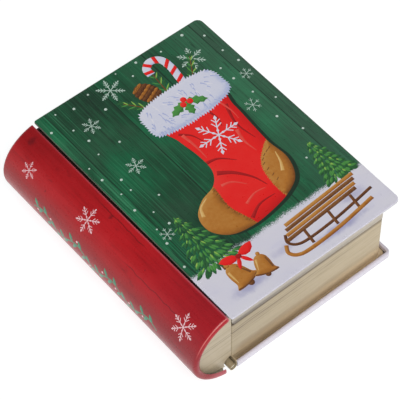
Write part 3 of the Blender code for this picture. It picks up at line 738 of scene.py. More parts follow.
def bell(cx, cy, s, rot):
    c, sn = math.cos(math.radians(rot)), math.sin(math.radians(rot))

    def at(u, v):
        return (cx + s * (c * u - sn * v), cy + s * (sn * u + c * v))

    body = catmull([at(*p) for p in ((-9.5, -8), (-7.2, -4.5), (-6.2, 2), (-4.2, 7), (0, 9), (4.2, 7), (6.2, 2), (7.2, -4.5), (9.5, -8), (0, -9.6))], 6)
    return [
        shape("brown", ellipse(*at(0, -9.6), 2.3 * s, 2.3 * s, n=18), 1.6),
        shape("gold", body, 5.0),
        shape("brown", stroke([at(-9.0, -7.2), at(-4.5, -8.6), at(0, -9.0), at(4.5, -8.6), at(9.0, -7.2)], 0.9), 0.4),
        shape("gold", ellipse(*at(0, 9.8), 1.7 * s, 1.7 * s, n=16), 1.0, bias=0.1),
        shape("gold_light", stroke(catmull([at(-3.4, 5.4), at(-4.3, 0.5), at(-5.2, -4.2)], 6, False), 1.7 * s, 0.5 * s), 0.8),
        shape("brown", stroke(catmull([at(3.6, 5.0), at(4.8, 0.0), at(5.9, -4.6)], 6, False), 0.6 * s, 1.4 * s), 0.6, bias=0.1),
    ]


def cone_shape(cx, cy, rx, ry, rot, seed):
    """A pine cone: rows of overlapping scales."""
    rng = random.Random(seed)
    out = [shape("brown", ellipse(cx, cy, rx, ry, rot), 3.0, bias=-0.35)]
    c, s = math.cos(math.radians(rot)), math.sin(math.radians(rot))
    for r in range(6):
        v = ry * (0.8 - 1.6 * r / 5.5)
        half = rx * math.sqrt(max(0.05, 1 - (v / ry) ** 2))
        n = 2 + int(half / rx * 3)
        scales = []
        for k in range(n):
            u = ((k + 0.5) / n * 2 - 1) * half * 0.95
            px, py = cx + c * u - s * v, cy + s * u + c * v
            scales.append(ellipse(px, py, rx * 0.30, ry * 0.125, rot + rng.uniform(-8, 8), 12))
        out.append(shape("brown" if r % 2 else "gold", scales, 1.2, bias=-0.12))
    return out


def cover_shapes():
    out = []
    # small round snow and snow crystals
    for x, y, r in ((115.2, 185.2, 1.05), (126, 175.7, .85), (127, 158.7, .75), (96.2, 183.1, .7), (90.8, 172.4, 1.0),
                    (78.3, 186.3, .9), (129.4, 146, .9), (116.4, 148.2, .75), (100.7, 156.7, .6), (105.4, 150.9, 1.0),
                    (117.3, 136.5, .9), (119.4, 120.5, .75), (62.7, 187.2, .5), (70, 178.8, .7),
                    (39, 185, .7), (25.4, 181.6, .9), (40.2, 168.6, 1.0), (13.7, 185.3, .6), (14.7, 168.2, .7),
                    (3.2, 175.4, .9), (17.1, 155.7, .95), (15.1, 143.6, .6), (4, 138.5, .6), (4.7, 126.7, .9),
                    (13.7, 119.4, .9), (13.3, 109.7, .65), (7, 110.9, .6), (5.7, 96.4, .9), (13.5, 88.1, .6),
                    (7, 77, .6), (15.5, 75.8, .9), (5.2, 65.3, .9), (2.4, 45.8, .85), (118.0, 96.0, .9),
                    (127.5, 108.0, .7), (110.5, 60.0, .7), (124.0, 78.5, .8), (31.0, 143.0, .8), (24.0, 96.0, .7)):
        out.append(shape("dot", ellipse(x, y, r, r, n=14), 0.8))
    for x, y, r, kind, rot in ((107.4, 166.3, 8.9, 0, 12), (51.8, 178.6, 8.8, 1, 20), (25.3, 163.8, 5.9, 0, 5),
                               (126.0, 134.4, 4.6, 2, 15), (112.5, 112.5, 5.6, 2, 8), (27.0, 122.0, 6.2, 0, 10), (9.5, 70.4, 4.8, 2, 20)):
        out.append(shape("flake", snowflake(x, y, r, kind, rot, 1.25), 0))
    # trees at the edge of the snow
    out += fir(118.5, 35.0, 34.0, 24.0, 5)
    out += fir(20.0, 32.0, 46.0, 32.0, 3)
    # what the stocking holds
    out += sprig(66, 146, 128, 24, 11) + sprig(95, 148, 58, 24, 12) + sprig(78, 150, 84, 28, 13)
    out += cone_shape(68.5, 162, 7.0, 9.5, 24, 7)
    cane = stroke(catmull([(90, 145), (91.5, 158), (93, 170), (91.5, 178), (85.5, 181), (80, 177.5), (79.5, 172)], 8, False), 5.6)
    out.append(shape("fur", cane, 2.6, bias=0.08))
    stripes = []
    for (x, y, a) in ((90.5, 151, 30), (91.6, 158.5, 28), (92.4, 166, 26), (92.6, 173, 40), (88.6, 179.2, 80), (82.6, 179.0, 130), (79.6, 174.4, 168)):
        c, s = math.cos(math.radians(a)), math.sin(math.radians(a))
        stripes.append([(x + c * u - s * v, y + s * u + c * v) for u, v in ((-5, -1.25), (5, -1.25), (5, 1.25), (-5, 1.25))])
    out.append(shape("red", stripes, 1.5, clip=cane))
    # the stocking
    sock = catmull([(102, 138), (103.5, 120), (102, 100), (101, 84), (102, 68), (96, 54), (84, 47), (68, 43.5), (52, 42.5),
                    (38, 46), (30, 56), (31.5, 68), (41, 76), (53, 80), (60, 89), (61, 103), (59, 120), (58, 138)], 7)
    out.append(shape("shade", [(x + 2.0, y - 2.0) for x, y in sock], 0))
    out.append(shape("red", sock, 15.0))
    # folds of the cloth: soft shade on one side, light on the other
    for pts, w0, w1 in (([(61, 86), (69, 80), (76, 70), (79, 60)], 3.4, 0.4), ([(60.6, 96), (69, 94), (77, 86)], 2.6, 0.3),
                        ([(100, 124), (95, 108), (97, 92)], 2.6, 0.4), ([(62, 124), (68, 118), (71, 108)], 2.0, 0.3),
                        ([(56, 47), (66, 52), (78, 52)], 2.6, 0.4), ([(88, 126), (89, 118), (87, 112)], 1.8, 0.3)):
        out.append(shape("red_deep", stroke(catmull(pts, 6, False), w0, w1), 1.2, clip=sock, bias=0.1))
    for pts, w0, w1 in (([(63.5, 122), (64.5, 110), (64, 99)], 2.4, 0.5), ([(57, 77), (64, 75), (70, 68)], 2.2, 0.4),
                        ([(92, 104), (90, 94), (91, 84)], 2.6, 0.4), ([(60, 57), (69, 60), (77, 59)], 2.0, 0.4),
                        ([(98, 128), (99.5, 118), (99, 110)], 1.6, 0.3)):
        out.append(shape("red_light", stroke(catmull(pts, 6, False), w0, w1), 1.0, clip=sock))
    toe = furry(catmull([(52, 81), (50.5, 62), (55, 40), (38, 38), (24, 50), (24, 72), (40, 82)], 6), 0.8, 1.5, 4)
    out.append(shape("gold", toe, 7.0, clip=sock))
    heel = furry(catmull([(106, 86), (92, 80), (84, 68), (83, 46), (98, 42), (110, 60)], 6), 0.8, 1.5, 6)
    out.append(shape("gold", heel, 7.0, clip=sock))
    for patch, pts in ((toe, [(51.5, 78), (51, 64), (53.5, 50)]), (heel, [(99, 81), (88.5, 75), (86.5, 58)])):
        line = catmull(pts, 8, False)
        ticks = [stroke([(x - 1.1, y - 0.5), (x + 1.1, y + 0.5)], 0.5) for x, y in line[1::2]]
        out.append(shape("brown", ticks, 0, clip=patch))
    for pts in ([(34, 66), (37, 72), (44, 75.5)], [(93, 62), (96.5, 68), (99, 76)]):
        out.append(shape("gold_light", stroke(catmull(pts, 6, False), 2.4, 0.5), 1.0, clip=sock))
    out.append(shape("fur", snowflake(81, 108, 14.5, 0, 0), 0, bias=0.25))
    cuff = furry(catmull([(52, 131), (51, 141), (53.5, 151), (66, 154.5), (82, 155.5), (98, 155), (109, 152), (111.5, 142),
                          (110, 132), (96, 127.5), (80, 126.5), (64, 127.5)], 7), 1.5, 2.0, 8)
    out.append(shape("fur", cuff, 8.0, bias=0.06))
    rng = random.Random(31)
    tufts = {"fur_shade": [], "tuft": []}
    for k in range(84):
        x = 53.0 + 56.0 * rng.random()
        y = 129.5 + 24.0 * rng.random()
        ang = -70 + 34 * math.sin(x * 0.19) + rng.uniform(-16, 16)
        a = math.radians(ang)
        ln = rng.uniform(2.6, 5.2)
        line = [(x, y), (x + 0.5 * ln * math.cos(a) + 0.4, y + 0.5 * ln * math.sin(a)), (x + ln * math.cos(a), y + ln * math.sin(a))]
        tufts["fur_shade" if (k % 3 or y < 136) else "tuft"].append(stroke(line, rng.uniform(0.7, 1.2), 0.2))
    for name, group in tufts.items():
        out.append(shape(name, group, 0, clip=cuff))
    # holly on the cuff
    leaves = []
    for ang, ln in ((200, 15), (330, 15), (262, 12)):
        a = math.radians(ang)
        ux, uy = math.cos(a), math.sin(a)
        side = []
        for sgn in (1, -1):
            row = [(82 + ux * t * ln - uy * sgn * w, 142 + uy * t * ln + ux * sgn * w) for t, w in
                   ((0.05, 0.4), (0.22, 3.1), (0.34, 1.9), (0.5, 3.7), (0.62, 2.1), (0.78, 2.6), (0.86, 1.1), (1.0, 0.0))]
            side += row if sgn == 1 else row[::-1][1:]
        leaves.append(side)
    out.append(shape("fir_mid", leaves, 2.0, bias=-0.1))
    for bx, by in ((82, 143.5), (79.5, 140.4), (84.6, 140.2)):
        out.append(shape("red", ellipse(bx, by, 2.1, 2.1, n=20), 2.0, bias=0.1))
    # a sledge in the snow, and two bells
    run = catmull([(58, 19), (55.5, 14), (59, 9.5), (68, 8), (92, 9), (121, 12.5)], 7, False)
    back = [(x + 4.5, y + 6.0) for x, y in run]
    out.append(shape("brown", stroke(back, 2.0), 1.0, bias=-0.15))
    for x in (72, 92, 110):
        out.append(shape("brown", stroke([(x, 10 + (x - 72) * 0.04), (x + 1.5, 20.5 + (x - 72) * 0.05)], 2.0), 1.0))
    out.append(shape("gold", stroke(run, 2.6), 1.3))
    for k in range(4):
        y0 = 19.5 + k * 3.1
        x0 = 61 + k * 1.9
        slat = [(x0, y0), (x0 + 57, y0 + 3.4), (x0 + 57, y0 + 6.0), (x0, y0 + 2.6)]
        out.append(shape("gold" if k % 2 else "brown", slat, 1.3, bias=0.08))
    out += bell(23.5, 21.5, 0.95, 12) + bell(39.0, 18.0, 0.8, -16)
    bow = [leaf(31.5, 31.5, 165, 13, 6.5, 3), leaf(31.5, 31.5, 15, 13, 6.5, -3), leaf(31.5, 31.5, 238, 10, 2.8), leaf(31.5, 31.5, 300, 10, 2.8)]
    out.append(shape("red", bow, 2.4))
    out.append(shape("red_deep", ellipse(31.5, 31.3, 2.0, 1.8, n=16), 1.4))
    return out


def spine_shapes():
    """Crystals and a running vine for the spine: first number along the section, second from the tail."""
    out = []
    for s, y, r, kind, rot in ((61, 168.5, 5.7, 0, 10), (65.5, 113.7, 8.4, 0, 0), (61, 19.6, 8.7, 0, 15),
                               (21, 150, 7.2, 0, 20), (18, 92, 8.6, 1, 0), (22, 36, 6.6, 2, 15)):
        out.append(shape("flake_pink", snowflake(s, y, r, kind, rot, 1.1), 0))
    stem = [(42.5 + 3.2 * math.sin(k / 80 * math.pi * 7), 36 + 120 * k / 80) for k in range(81)]
    out.append(shape("vine", stroke(stem, 1.0), 0.5))
    leaves, berries = [], []
    for k in range(1, 28):
        y = 36 + 120 * k / 28
        x = 42.5 + 3.2 * math.sin((y - 36) / 120 * math.pi * 7)
        sgn = 1 if k % 2 else -1
        leaves.append(leaf(x, y, 90 - sgn * 52, 6.4, 2.6, 0.8 * sgn))
        if k % 3 == 0:
            berries.append(ellipse(x - sgn * 2.4, y + 0.6, 0.8, 0.8, n=12))
    out.append(shape("vine", leaves, 1.0))
    out.append(shape("flake_pink", berries, 0))
    return out


# ------------------------------------------------------------ modelling tools
def outline(x0, x1, y0, y1, radii, steps=14, closed=True):
    pts = []
    corners = ((x0, y0, 1, 1, 180.0), (x1, y0, -1, 1, 270.0), (x1, y1, -1, -1, 0.0), (x0, y1, 1, -1, 90.0))
    for n, (cx, cy, sx, sy, start) in enumerate(corners):
        if not closed and n in (0, 3):
            pts.append((cx, cy, 0.0, -1.0 if n == 0 else 1.0))
            continue
        r = radii[n]
        for k in range(steps + 1):
            a = math.radians(start + 90.0 * k / steps)
            nx, ny = math.cos(a), math.sin(a)
            pts.append((cx + sx * r + nx * r, cy + sy * r + ny * r, nx, ny))
    return pts


def arc(cx, cz, r, a0, a1, steps):
    return [(cx + r * math.cos(math.radians(a0 + (a1 - a0) * k / steps)),
             cz + r * math.sin(math.radians(a0 + (a1 - a0) * k / steps))) for k in range(steps + 1)]


HALF = SPINE_TOP / 2
PHI_END = math.asin(1 / SPINE_OVER)
ELL_A = SPINE_BULGE / (1 - math.cos(PHI_END))
ELL_B = HALF * SPINE_OVER


def section_at(phi):
    x = SPINE_X - ELL_A * (math.cos(phi) - math.cos(PHI_END))
    z = HALF + ELL_B * math.sin(phi)
    nx, nz = -math.cos(phi) / ELL_A, math.sin(phi) / ELL_B
    ln = math.hypot(nx, nz)
    return x, z, nx / ln, nz / ln


SECTION = [section_at(-PHI_END + 2 * PHI_END * k / 1200) for k in range(1201)]
SECTION_LEN = [0.0]
for _a, _b in zip(SECTION, SECTION[1:]):
    SECTION_LEN.append(SECTION_LEN[-1] + math.hypot(_b[0] - _a[0], _b[1] - _a[1]))
SPINE_S = SECTION_LEN[-1]


def section_at_length(s):
    k = int(np.searchsorted(SECTION_LEN, s))
    k = min(max(k, 1), 1200)
    t = (s - SECTION_LEN[k - 1]) / (SECTION_LEN[k] - SECTION_LEN[k - 1])
    t = min(max(t, 0.0), 1.0)
    return section_at(-PHI_END + 2 * PHI_END * (k - 1 + t) / 1200)


def to_object(name, bm, mats, body, node, slot_name, angle=35.0, thickness=None, offset=-1.0, inner=None):
    """bm in drawing millimetres becomes a piece in the frame."""
    for v in bm.verts:
        v.co = place(*v.co)
    mesh = bpy.data.meshes.new(name)
    bm.to_mesh(mesh)
    bm.free()
    for mt in mats:
        mesh.materials.append(mt)
    obj = bpy.data.objects.new(name, mesh)
    bpy.context.scene.collection.objects.link(obj)
    if thickness:
        mod = obj.modifiers.new("sheet", "SOLIDIFY")
        mod.thickness = thickness * MM
        mod.offset = offset
        mod.use_even_offset = True
        mod.use_quality_normals = True
        if inner is not None:
            mod.material_offset = inner
    return obj


def settle(obj, angle=35.0):
    """Applies the modifiers, so that the piece is the mesh that is seen."""
    dg = bpy.context.evaluated_depsgraph_get()
    mesh = bpy.data.meshes.new_from_object(obj.evaluated_get(dg), preserve_all_data_layers=True, depsgraph=dg)
    obj.modifiers.clear()
    obj.data = mesh
    mesh.shade_smooth()
    mesh.set_sharp_from_angle(angle=math.radians(angle))
    return obj


def finish_piece(obj, body, node):
    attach(obj, body)
    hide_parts(node)
    return obj


def grid_surface(rows, wrap=False, skip=()):
    bm = bmesh.new()
    verts = [[None if p is None else bm.verts.new(p) for p in row] for row in rows]
    n = len(rows[0])
    for i in range(len(rows) - 1):
        for j in range(n if wrap else n - 1):
            k = (j + 1) % n
            if (i, j) in skip:
                continue
            quad = (verts[i][j], verts[i][k], verts[i + 1][k], verts[i + 1][j])
            if all(quad):
                bm.faces.new(quad)
    for v in [v for v in bm.verts if not v.link_faces]:
        bm.verts.remove(v)
    return bm


def sheet_mesh(co, tri, owner, tone, shapes, base_mat, mapping, sheet_attr=False):
    """A bmesh of the divided sheet, its list of materials and its tone layer."""
    bm = bmesh.new()
    tone_l = bm.loops.layers.float.new("tone")
    names = sorted({sh["paint"] for sh in shapes})
    mats = [base_mat] + [PAINTS[n] for n in names]
    sheet_l = bm.verts.layers.float_vector.new("sheet") if sheet_attr else None
    used = sorted(set(tri.ravel().tolist()))
    made = {}
    for i in used:
        v = bm.verts.new(mapping(co[i][0], co[i][1]))
        if sheet_l is not None:
            v[sheet_l] = Vector((co[i][0], co[i][1], 0.0))
        made[i] = v
    for t, own, tn in zip(tri.tolist(), owner.tolist(), tone.tolist()):
        try:
            f = bm.faces.new((made[t[0]], made[t[1]], made[t[2]]))
        except ValueError:
            continue
        f.material_index = 0 if own < 0 else 1 + names.index(shapes[own]["paint"])
        for lp, val in zip(f.loops, tn):
            lp[tone_l] = val
    return bm, mats


# ---------------------------------------------------------------- front cover
def build_front_cover():
    inset, r_fore, r_back = 0.5, COVER_R - 0.5, COVER_R_SPINE - 0.5
    lo, hi = (inset, inset), (COVER_W - inset, COVER_H - inset)
    line = [(x, y) for x, y, _, _ in outline(lo[0], hi[0], lo[1], hi[1], (r_back, r_fore, r_fore, r_back), 14)]
    dense = []
    for a, b in zip(line, line[1:] + line[:1]):
        d = math.hypot(b[0] - a[0], b[1] - a[1])
        n = max(1, int(d / 4.0))
        dense += [(a[0] + (b[0] - a[0]) * k / n, a[1] + (b[1] - a[1]) * k / n) for k in range(n)]
    shapes = cover_shapes()
    grid = hexgrid(2, COVER_W - 2, 2, COVER_H - 2, 2.0)
    co, tri, owner, tone = divide_sheet(dense, shapes, grid)
    bm, mats = sheet_mesh(co, tri, owner, tone, shapes, GROUND, lambda x, y: (x, y, THICK))
    edge_index, under_index = len(mats), len(mats) + 1
    mats += [EDGE, TIN]
    rim = [e for e in bm.edges if len(e.link_faces) == 1]
    zb = THICK - COVER_EDGE
    profile = [(0.19, THICK - 0.04), (0.35, THICK - 0.15), (0.46, THICK - 0.31), (0.5, THICK - 0.5), (0.5, zb + 0.2),
               (0.44, zb + 0.06), (0.3, zb), (0.15, zb + 0.06), (0.1, zb + 0.2), (0.1, THICK - SHEET)]
    for k, (d, z) in enumerate(profile):
        got = bmesh.ops.extrude_edge_only(bm, edges=rim)["geom"]
        new = [g for g in got if isinstance(g, bmesh.types.BMVert)]
        for v in new:
            r_in = r_back if v.co.x < COVER_W / 2 else r_fore
            cx = min(max(v.co.x, lo[0] + r_in), hi[0] - r_in)
            cy = min(max(v.co.y, lo[1] + r_in), hi[1] - r_in)
            n = Vector((v.co.x - cx, v.co.y - cy))
            n = n.normalized() if n.length > 1e-9 else Vector((1, 0))
            v.co = Vector((cx + n.x * (r_in + d), cy + n.y * (r_in + d), z))
        for g in got:
            if isinstance(g, bmesh.types.BMFace):
                g.material_index = 0 if k < 5 else edge_index if k < 7 else under_index
        rim = [g for g in got if isinstance(g, bmesh.types.BMEdge) and len(g.link_faces) == 1]
    got = bmesh.ops.holes_fill(bm, edges=rim, sides=0)
    for f in got["faces"]:
        f.material_index = under_index
    bmesh.ops.recalc_face_normals(bm, faces=bm.faces[:])
    obj = to_object("front_cover_sheet", bm, mats, "lid", "front_cover", "cover_green")
    settle(obj, 50)
    return finish_piece(obj, "lid", "front_cover")


# ------------------------------------------------------------------ lid skirt
def build_lid_frame():
    y0, y1 = BAND_INSET, COVER_H - BAND_INSET
    path = outline(BAND_X0, BAND_X1, y0, y1, (0, BAND_R, BAND_R, 0), closed=False)
    # more stations near the spine side, where the lower corners are round
    extra = [0.15, 0.4, 0.8, 1.3, 1.9, 2.6, 3.4, 4.4]
    path = [path[0]] + [(BAND_X0 + e, y0, 0.0, -1.0) for e in extra] + path[1:-1] + [(BAND_X0 + e, y1, 0.0, 1.0) for e in extra[::-1]] + [path[-1]]
    under = THICK - COVER_EDGE - 0.05
    rr = 3.4
    profile = [(BAND_FLANGE, under), (0.7, under)] + [(0.7 - 0.7 * math.sin(math.radians(a)), under - 0.7 + 0.7 * math.cos(math.radians(a))) for a in (30, 60, 90)]
    profile += [(0.0, z) for z in (52.0, BAND_Z0 + rr, BAND_Z0 + 2.4, BAND_Z0 + 1.6, BAND_Z0 + 1.0, BAND_Z0 + 0.5, BAND_Z0 + 0.2, BAND_Z0)]
    rows = []
    for d, z in profile:
        row = []
        for k, (x, y, nx, ny) in enumerate(path):
            px = x + nx * d
            if z < BAND_Z0 + rr and (nx == 0.0) and x < BAND_X0 + 5:
                start = BAND_X0 + rr - math.sqrt(max(rr * rr - (BAND_Z0 + rr - z) ** 2, 0.0))
                px = start + (x - BAND_X0) / 4.4 * (BAND_X0 + 4.4 - start)
            row.append((px, y + ny * d, z))
        rows.append(row)
    bm = grid_surface(rows[::-1])
    obj = to_object("lid_skirt_sheet", bm, [SKIRT, TIN], "lid", "lid_frame", "skirt_tan", thickness=SHEET, inner=1)
    settle(obj)
    return finish_piece(obj, "lid", "lid_frame")


# ---------------------------------------------------------------- spine shell
def build_spine():
    roll = CURL_R * math.radians(150.0)
    va, vb = SPINE_Y0 + CURL_R, SPINE_Y1 - CURL_R
    v0, v1 = va - roll, vb + roll

    def edge_in(y):
        """The upper edge leans towards the cover as it nears the tail."""
        return 0.4 * min(max((110.0 - y) / 85.0, 0.0), 1.0) + 0.6 * min(max((36.0 - y) / 34.0, 0.0), 1.0) ** 1.3

    def mapping(s, v):
        # the lower lip is cut back beside the end of the hinge
        if s < 20.0:
            s += 2.8 * min(max((5.6 - v) / 1.6, 0.0), 1.0) * (1.0 - s / 20.0)
        x, z, nx, nz = section_at_length(s)
        back = SPINE_SLANT * z / SPINE_TOP
        x += edge_in(v) * min(max((s - SPINE_S + 12.0) / 12.0, 0.0), 1.0) ** 2
        if v < va:
            a = math.radians(90.0) - (va - v) / CURL_R
            y, d = va - CURL_R * math.cos(a) + back, CURL_R - CURL_R * math.sin(a)
        elif v < cuts[0]:
            y, d = v + back * (cuts[0] - v) / (cuts[0] - va), 0.0
        elif v > vb:
            a = math.radians(90.0) - (v - vb) / CURL_R
            y, d = vb + CURL_R * math.cos(a), CURL_R - CURL_R * math.sin(a)
        else:
            y, d = v, 0.0
        return (x - nx * d, y, z - nz * d)

    cuts = [CAP_OUT + SHEET + 0.4, COVER_H - CAP_OUT - SHEET - 0.4]
    for a, b in LID_KNUCKLES:
        cuts += [a, b]
    rows_v = sorted(set([round(v0 + roll * k / 12, 4) for k in range(13)] + [round(vb + roll * k / 12, 4) for k in range(13)]
                        + [round(va + (vb - va) * k / 64, 4) for k in range(65)] + cuts))
    rows_v[0], rows_v[-1] = v0, v1
    n_s = 64
    ring = [(0.0, v) for v in rows_v[::-1]] + [(SPINE_S * k / n_s, v0) for k in range(1, n_s)] \
        + [(SPINE_S, v) for v in rows_v] + [(SPINE_S * k / n_s, v1) for k in range(n_s - 1, 0, -1)]
    grid = [(SPINE_S * k / n_s, v) for k in range(1, n_s) for v in rows_v[1:-1]]
    shapes = spine_shapes()
    co, tri, owner, tone = divide_sheet(ring, shapes, grid)
    bm, mats = sheet_mesh(co, tri, owner, tone, shapes, RED_SHEET, mapping, sheet_attr=True)
    sheet_l = bm.verts.layers.float_vector["sheet"]

    mats.append(GROOVE)
    groove_index = len(mats) - 1

    def strip(s_edge, lo_v, hi_v, profile, index):
        """Carries the sheet on from one of its long edges along a profile."""
        row = sorted([v for v in bm.verts if abs(v[sheet_l].x - s_edge) < 1e-3 and lo_v - 1e-3 <= v[sheet_l].y <= hi_v + 1e-3],
                     key=lambda v: v[sheet_l].y)
        prev = row
        for x, z in profile:
            cur = []
            for v in row:
                nv = bm.verts.new((x + (edge_in(v.co.y) if s_edge > 0.0 and x < 0.0 else 0.0), v.co.y, z))
                nv[sheet_l] = Vector((200.0, v[sheet_l].y, 0.0))
                cur.append(nv)
            for i in range(len(row) - 1):
                bm.faces.new((prev[i], prev[i + 1], cur[i + 1], cur[i])).material_index = index
            prev = cur

    top = THICK - SHEET - FIT
    groove = [(GROOVE_X0 - 0.02, SPINE_TOP - 0.25), (GROOVE_X0, SPINE_TOP - 0.7), (GROOVE_X0, GROOVE_Z + 0.6)]
    groove += [(GROOVE_X0 + 0.6 - 0.6 * math.cos(math.radians(a)), GROOVE_Z + 0.6 - 0.6 * math.sin(math.radians(a))) for a in (30, 60, 90)]
    groove += [(GROOVE_X1 - 0.6 + 0.6 * math.sin(math.radians(a)), GROOVE_Z + 0.6 - 0.6 * math.cos(math.radians(a))) for a in (0, 30, 60, 90)]
    groove += [(GROOVE_X1, top - 0.4), (GROOVE_X1 + 0.12, top - 0.12), (GROOVE_X1 + 0.4, top), (LEAF_X1, top)]
    strip(SPINE_S, cuts[0], cuts[1], groove, groove_index)
    tab = [(-0.5, 0.0)] + arc(PIVOT_X, PIVOT_Z, KNUCKLE_RO, -90, 200, 40)
    for a, b in LID_KNUCKLES:
        strip(0.0, a, b, tab, 0)
    bmesh.ops.recalc_face_normals(bm, faces=bm.faces[:])
    probe = max((f for f in bm.faces if f.calc_center_median().x < -20), key=lambda f: f.calc_area())
    if probe.normal.x > 0:
        bmesh.ops.reverse_faces(bm, faces=bm.faces[:])
    inner = len(mats)
    mats.append(TIN)
    obj = to_object("spine_sheet", bm, mats, "lid", "spine_shell", "spine_red", thickness=SHEET, inner=inner)
    settle(obj, 50)
    # exact normals on the plain curve, so that its gloss is even
    mesh = obj.data
    normals = [tuple(n.vector) for n in mesh.corner_normals]
    for poly in mesh.polygons:
        c = poly.center
        y = c.y / MM + Y_MID
        if not cuts[0] + 0.4 < y < vb - 0.4:
            continue
        for li in poly.loop_indices:
            p = mesh.vertices[mesh.loops[li].vertex_index].co
            x, z = p.x / MM + X_MID, p.z / MM
            if x > SPINE_X - 0.05 or (y < 33.0 and z > 50.0):
                continue
            phi = math.atan2((z - HALF) / ELL_B, -(x - SPINE_X - ELL_A * math.cos(PHI_END)) / ELL_A)
            _, _, nx, nz = section_at(phi)
            n = Vector((nx, 0.0, nz))
            dot = n.dot(poly.normal)
            if abs(dot) > 0.9:
                normals[li] = tuple(n if dot > 0 else -n)
    mesh.normals_split_custom_set(normals)
    return finish_piece(obj, "lid", "spine_shell")


# ----------------------------------------------------------------- spine ends
def build_cap(name, node, head):
    inset = SHEET + FIT
    line = []
    for k in range(91):
        x, z, nx, nz = section_at(-PHI_END + 2 * PHI_END * k / 90)
        line.append((x - inset * nx, z - inset * nz))
    cx, cz, r = NOTCH
    a0 = math.degrees(math.acos((CAP_X1 - cx) / r))
    low = line[0]
    a1 = 180.0 + math.degrees(math.asin((cz - low[1] - 0.1) / r))
    rest = [(CAP_X1, CAP_TOP)] + arc(cx, cz, r, a0, a1, 30)
    y = COVER_H - CAP_OUT if head else CAP_OUT
    step = -1 if head else 1
    bm = bmesh.new()
    face_line = [bm.verts.new((x, y, z)) for x, z in line]
    face_rest = [bm.verts.new((x, y, z)) for x, z in rest]
    bm.faces.new(face_line + face_rest)
    bent = [i for i, (x, z) in enumerate(line) if x < GROOVE_X0 - 2.0 or z < HALF]
    back = {i: bm.verts.new((line[i][0], y + step * CAP_FLANGE, line[i][1])) for i in bent}
    for i in bent[:-1]:
        bm.faces.new((face_line[i + 1], face_line[i], back[i], back[i + 1]))
    bm.normal_update()
    plate = next(f for f in bm.faces if len(f.verts) > 4)
    if plate.normal.y * (1.0 if head else -1.0) < 0:
        bmesh.ops.reverse_faces(bm, faces=bm.faces[:])
    obj = to_object(name, bm, [CAPPAGE, TIN], "lid", node, "cap_tan", thickness=SHEET, inner=1)
    settle(obj)
    return finish_piece(obj, "lid", node)


# ------------------------------------------------------------------ base wall
def knuckle_strip(name, y0, y1):
    outer = [(WALL_X0 + SHEET + 0.02, 8.0)] + arc(PIVOT_X, PIVOT_Z, KNUCKLE_RO + 0.02, 0, -300, 44)
    inner = [(WALL_X0 - 0.02, 8.0)] + arc(PIVOT_X, PIVOT_Z, KNUCKLE_RI - 0.02, 0, -300, 44)
    ring = outer + inner[::-1]
    bm = bmesh.new()
    a = [bm.verts.new((x, y0, z)) for x, z in ring]
    b = [bm.verts.new((x, y1, z)) for x, z in ring]
    n, m = len(outer), len(ring)
    for i in range(n - 1):
        k = m - 1 - i
        bm.faces.new((a[i], a[i + 1], a[k - 1], a[k]))
        bm.faces.new((b[k], b[k - 1], b[i + 1], b[i]))
    for i in range(m):
        k = (i + 1) % m
        bm.faces.new((a[k], a[i], b[i], b[k]))
    bmesh.ops.recalc_face_normals(bm, faces=bm.faces[:])
    for v in bm.verts:
        v.co = place(*v.co)
    mesh = bpy.data.meshes.new(name)
    bm.to_mesh(mesh)
    bm.free()
    mesh.materials.append(PAGE)
    obj = bpy.data.objects.new(name, mesh)
    bpy.context.scene.collection.objects.link(obj)
    return obj


